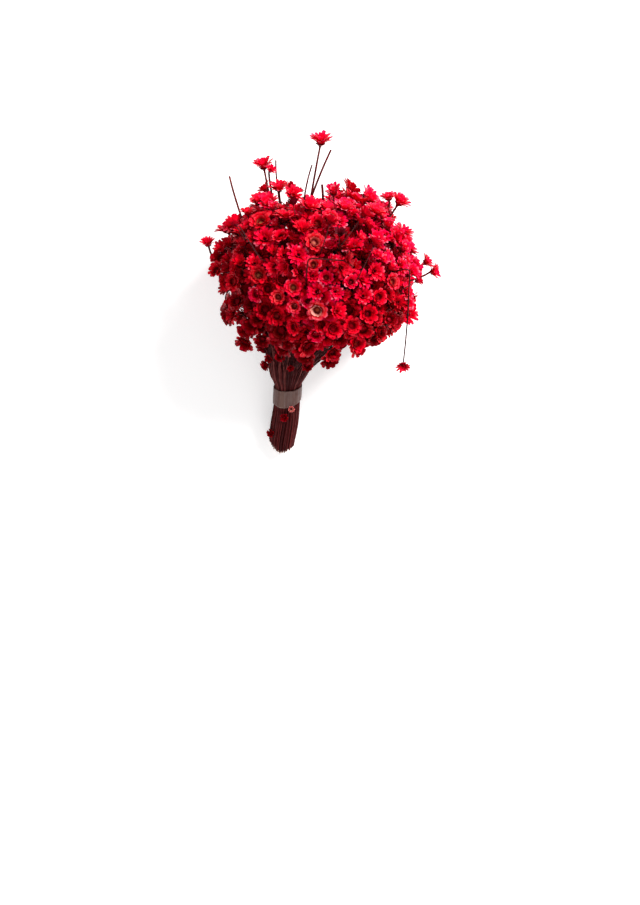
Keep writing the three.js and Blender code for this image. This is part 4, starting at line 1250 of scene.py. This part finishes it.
def tape_mesh():
    points = [in_frame(tape_point(step, row, outer)) for outer in (True, False)
              for step in range(TAPE_STEPS + 1) for row in range(TAPE_ROWS + 1)]
    rows = TAPE_ROWS + 1
    inner = (TAPE_STEPS + 1) * rows
    faces = []
    for step in range(TAPE_STEPS):
        for row in range(TAPE_ROWS):
            a = step * rows + row
            faces.append((a, a + rows, a + rows + 1, a + 1))
            faces.append((inner + a, inner + a + 1, inner + a + rows + 1, inner + a + rows))
        for a, way in ((step * rows, 1), (step * rows + TAPE_ROWS, -1)):
            faces.append((a, inner + a, inner + a + rows, a + rows)[::way])
    for row in range(TAPE_ROWS):
        for a, way in ((row, -1), (TAPE_STEPS * rows + row, 1)):
            faces.append((a, inner + a, inner + a + 1, a + 1)[::way])
    mesh = made_of(points, faces, "tape")
    turns = [tape_angle(step) % TURN for step in range(TAPE_STEPS + 1)]
    carry(mesh, "around", [turn for _ in range(2) for turn in turns for _ in range(rows)])
    return mesh


def tape_finish():
    material, net = blank_material("Frosted tape")
    around = net.own("around")
    show = streaked(net, 0.0, around, 0.3, 12.0, 0.2)
    off_highlight = net.math("ABSOLUTE", net.math("SUBTRACT", around, HIGHLIGHT_AT))
    colour = net.layered(
        TAPE_GREIGE, (net.times(show, 0.6), TAPE_STREAK_AND_SHADE), (net.times(mottled(net, 160.0), 0.3), TAPE_MOTTLE_AND_HIGHLIGHT),
        # Painted highlight in a band just left of the front.
        (net.spread(off_highlight, 0.4, 0.05, 0.0, 0.6), TAPE_MOTTLE_AND_HIGHLIGHT),
        # Painted shade: darker from the left edge of the tape round its underside.
        (net.spread(around, 4.0, 3.3, 0.0, 0.5), TAPE_STREAK_AND_SHADE))
    frost = net.noise(1500.0, 3.0)
    net.surface(Base_Color=colour, Roughness=net.spread(frost, 0.3, 0.7, 0.34, 0.5),
                Normal=net.bump(frost, 0.3, 0.0001), Specular_IOR_Level=0.4)
    return material


tape = in_scene(tape_mesh(), "tape_wrap")
tape.data.materials.append(tape_finish())
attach(tape, "root")
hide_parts("tie_wrap")

# Strays and caught blooms
# Stray stems are of the same kind as the others; a bloom sits on the end of some. Small blooms that came off
# when the bunch was tied are caught among the stems and on the tape.

STALK_INSIDE = 7
STALK_HALF = 0.4
STALK_TONE = 0.3
FOOT_SHARE = 0.8
FRONT_LIFT = 6
WITHERED = -1.5
# Where a bloom over the front or the edge is seen, where its stem comes from, radius, tone and lift.
OVER_FRONT = (
    ((9.8, 39), (2.5, 15.8), 6.4, None, FRONT_LIFT),
    ((35, 44), (16.5, 18.8), 6.8, None, FRONT_LIFT),
    ((43, 23), (29.3, -5), 6.4, None, FRONT_LIFT),
    ((-63, 37.5), (-54, 24), 6.8, None, FRONT_LIFT),
    # The dark brown bloom at (16, 29) is painted shade, a dark hollow of the head.
    ((16, 29), (15, 19), 5, WITHERED, 11),
    ((-18.5, 52), (-17, 42), 4.4, WITHERED, FRONT_LIFT),
    ((74, -6), (62, -13), 4.6, None, FRONT_LIFT),
)
OVER_TONE = 0.05
# Half width, tone and the spread of the tone of a stray stem.
KINKED_STEM = (1.2, 0.1, 0.2)
STRAIGHT_STEM = (1.75, 0.7, 0.28)
STRAY_TAPER = 0.9
CAUGHT_SHADE = 0.35
CAUGHT_TURN = 0.6
PULLED_PALE = {"tone": 0.9, "pale": 9.0, "kind": 0}
TO_VIEWER = {"broken": 1.9, "right_low": 0.9}
CARRIED_TURN = 0.1
CARRIED_SWELL = {"broken": 1.15, "top_right": 1.15, "crown": 1.06, "right_low": 1.1}
CARRIED_TONE = {"bent": 0.0}
CARRIED_BRIGHT = 0.8
STRAY_SWELL = 1.17


def lying_over(seen_at, stem_from, radius, tone, lift):
    """A bloom on the front of the head, seen from its side, with its stem in sight below it."""
    tip = on_front(*seen_at) + TO_LIGHT * lift
    low = on_front(*stem_from) + TO_LIGHT * 3
    facing = ((tip - low).normalized() + TO_LIGHT * 0.3).normalized()
    foot = tip - facing * (FOOT_SHARE * radius)
    path = [low - TO_LIGHT * 14 - AXIS * 4, low, low.lerp(foot, 0.5) + TO_LIGHT * 2, foot]
    return {"name": "over_front", "centre": tip, "facing": facing, "radius": radius, "path": path,
            "own_tone": tone}


over_front = [lying_over(*lay) for lay in OVER_FRONT]
stray_lines = []
for stray in strays:
    widen, tone, tone_spread = KINKED_STEM if stray["kinked"] else STRAIGHT_STEM
    thick = stray["thick"] * widen
    stray_lines.append((stray["path"][::-1], thick, STRAY_TAPER * thick, tone + tone_spread * next(draw)))
stray_lines += [(bloom["path"], STEM_HALF, STEM_TIP_HALF, OVER_TONE) for bloom in over_front]

for bloom in dressed(caught, 29):
    bloom["tone"] *= CAUGHT_SHADE
    bloom["facing"] = (bloom["facing"] + TO_LIGHT * CAUGHT_TURN).normalized()
    if bloom["name"] == "wrap_edge":
        bloom |= PULLED_PALE
    foot = bloom["centre"] - bloom["facing"] * (FOOT_SHARE * bloom["radius"])
    stray_lines.append(([foot - bloom["facing"] * STALK_INSIDE, foot], STALK_HALF, STALK_HALF, STALK_TONE))
stem_piece("stray_stems", stray_lines, *(f"stray_stem_{stray['name']}" for stray in strays))
bloom_piece("caught_blooms", caught, 1.0, *(f"caught_bloom_{c['name']}" for c in caught))

flowering = [s for s in strays if "radius" in s]
carried = dressed(flowering + over_front, 97)
for bloom in carried:
    name, tone = bloom["name"], bloom.get("own_tone") or CARRIED_TONE.get(bloom["name"])
    bloom["tone"] = max(bloom["tone"], CARRIED_BRIGHT) if tone is None else tone
    bloom["kind"] = CLOSED_KIND + 1 + (0 if name == "broken" else bloom["kind"] % 2)
    bloom["facing"] = (bloom["facing"] + TO_LIGHT * TO_VIEWER.get(name, CARRIED_TURN)).normalized()
    bloom["radius"] *= CARRIED_SWELL.get(name, 1)
bloom_piece("stray_blooms", carried, STRAY_SWELL, *(f"stray_bloom_{s['name']}" for s in flowering))

for spare in [*kinds.objects, *petals.values()]:
    bpy.data.objects.remove(spare)
bpy.data.collections.remove(kinds)
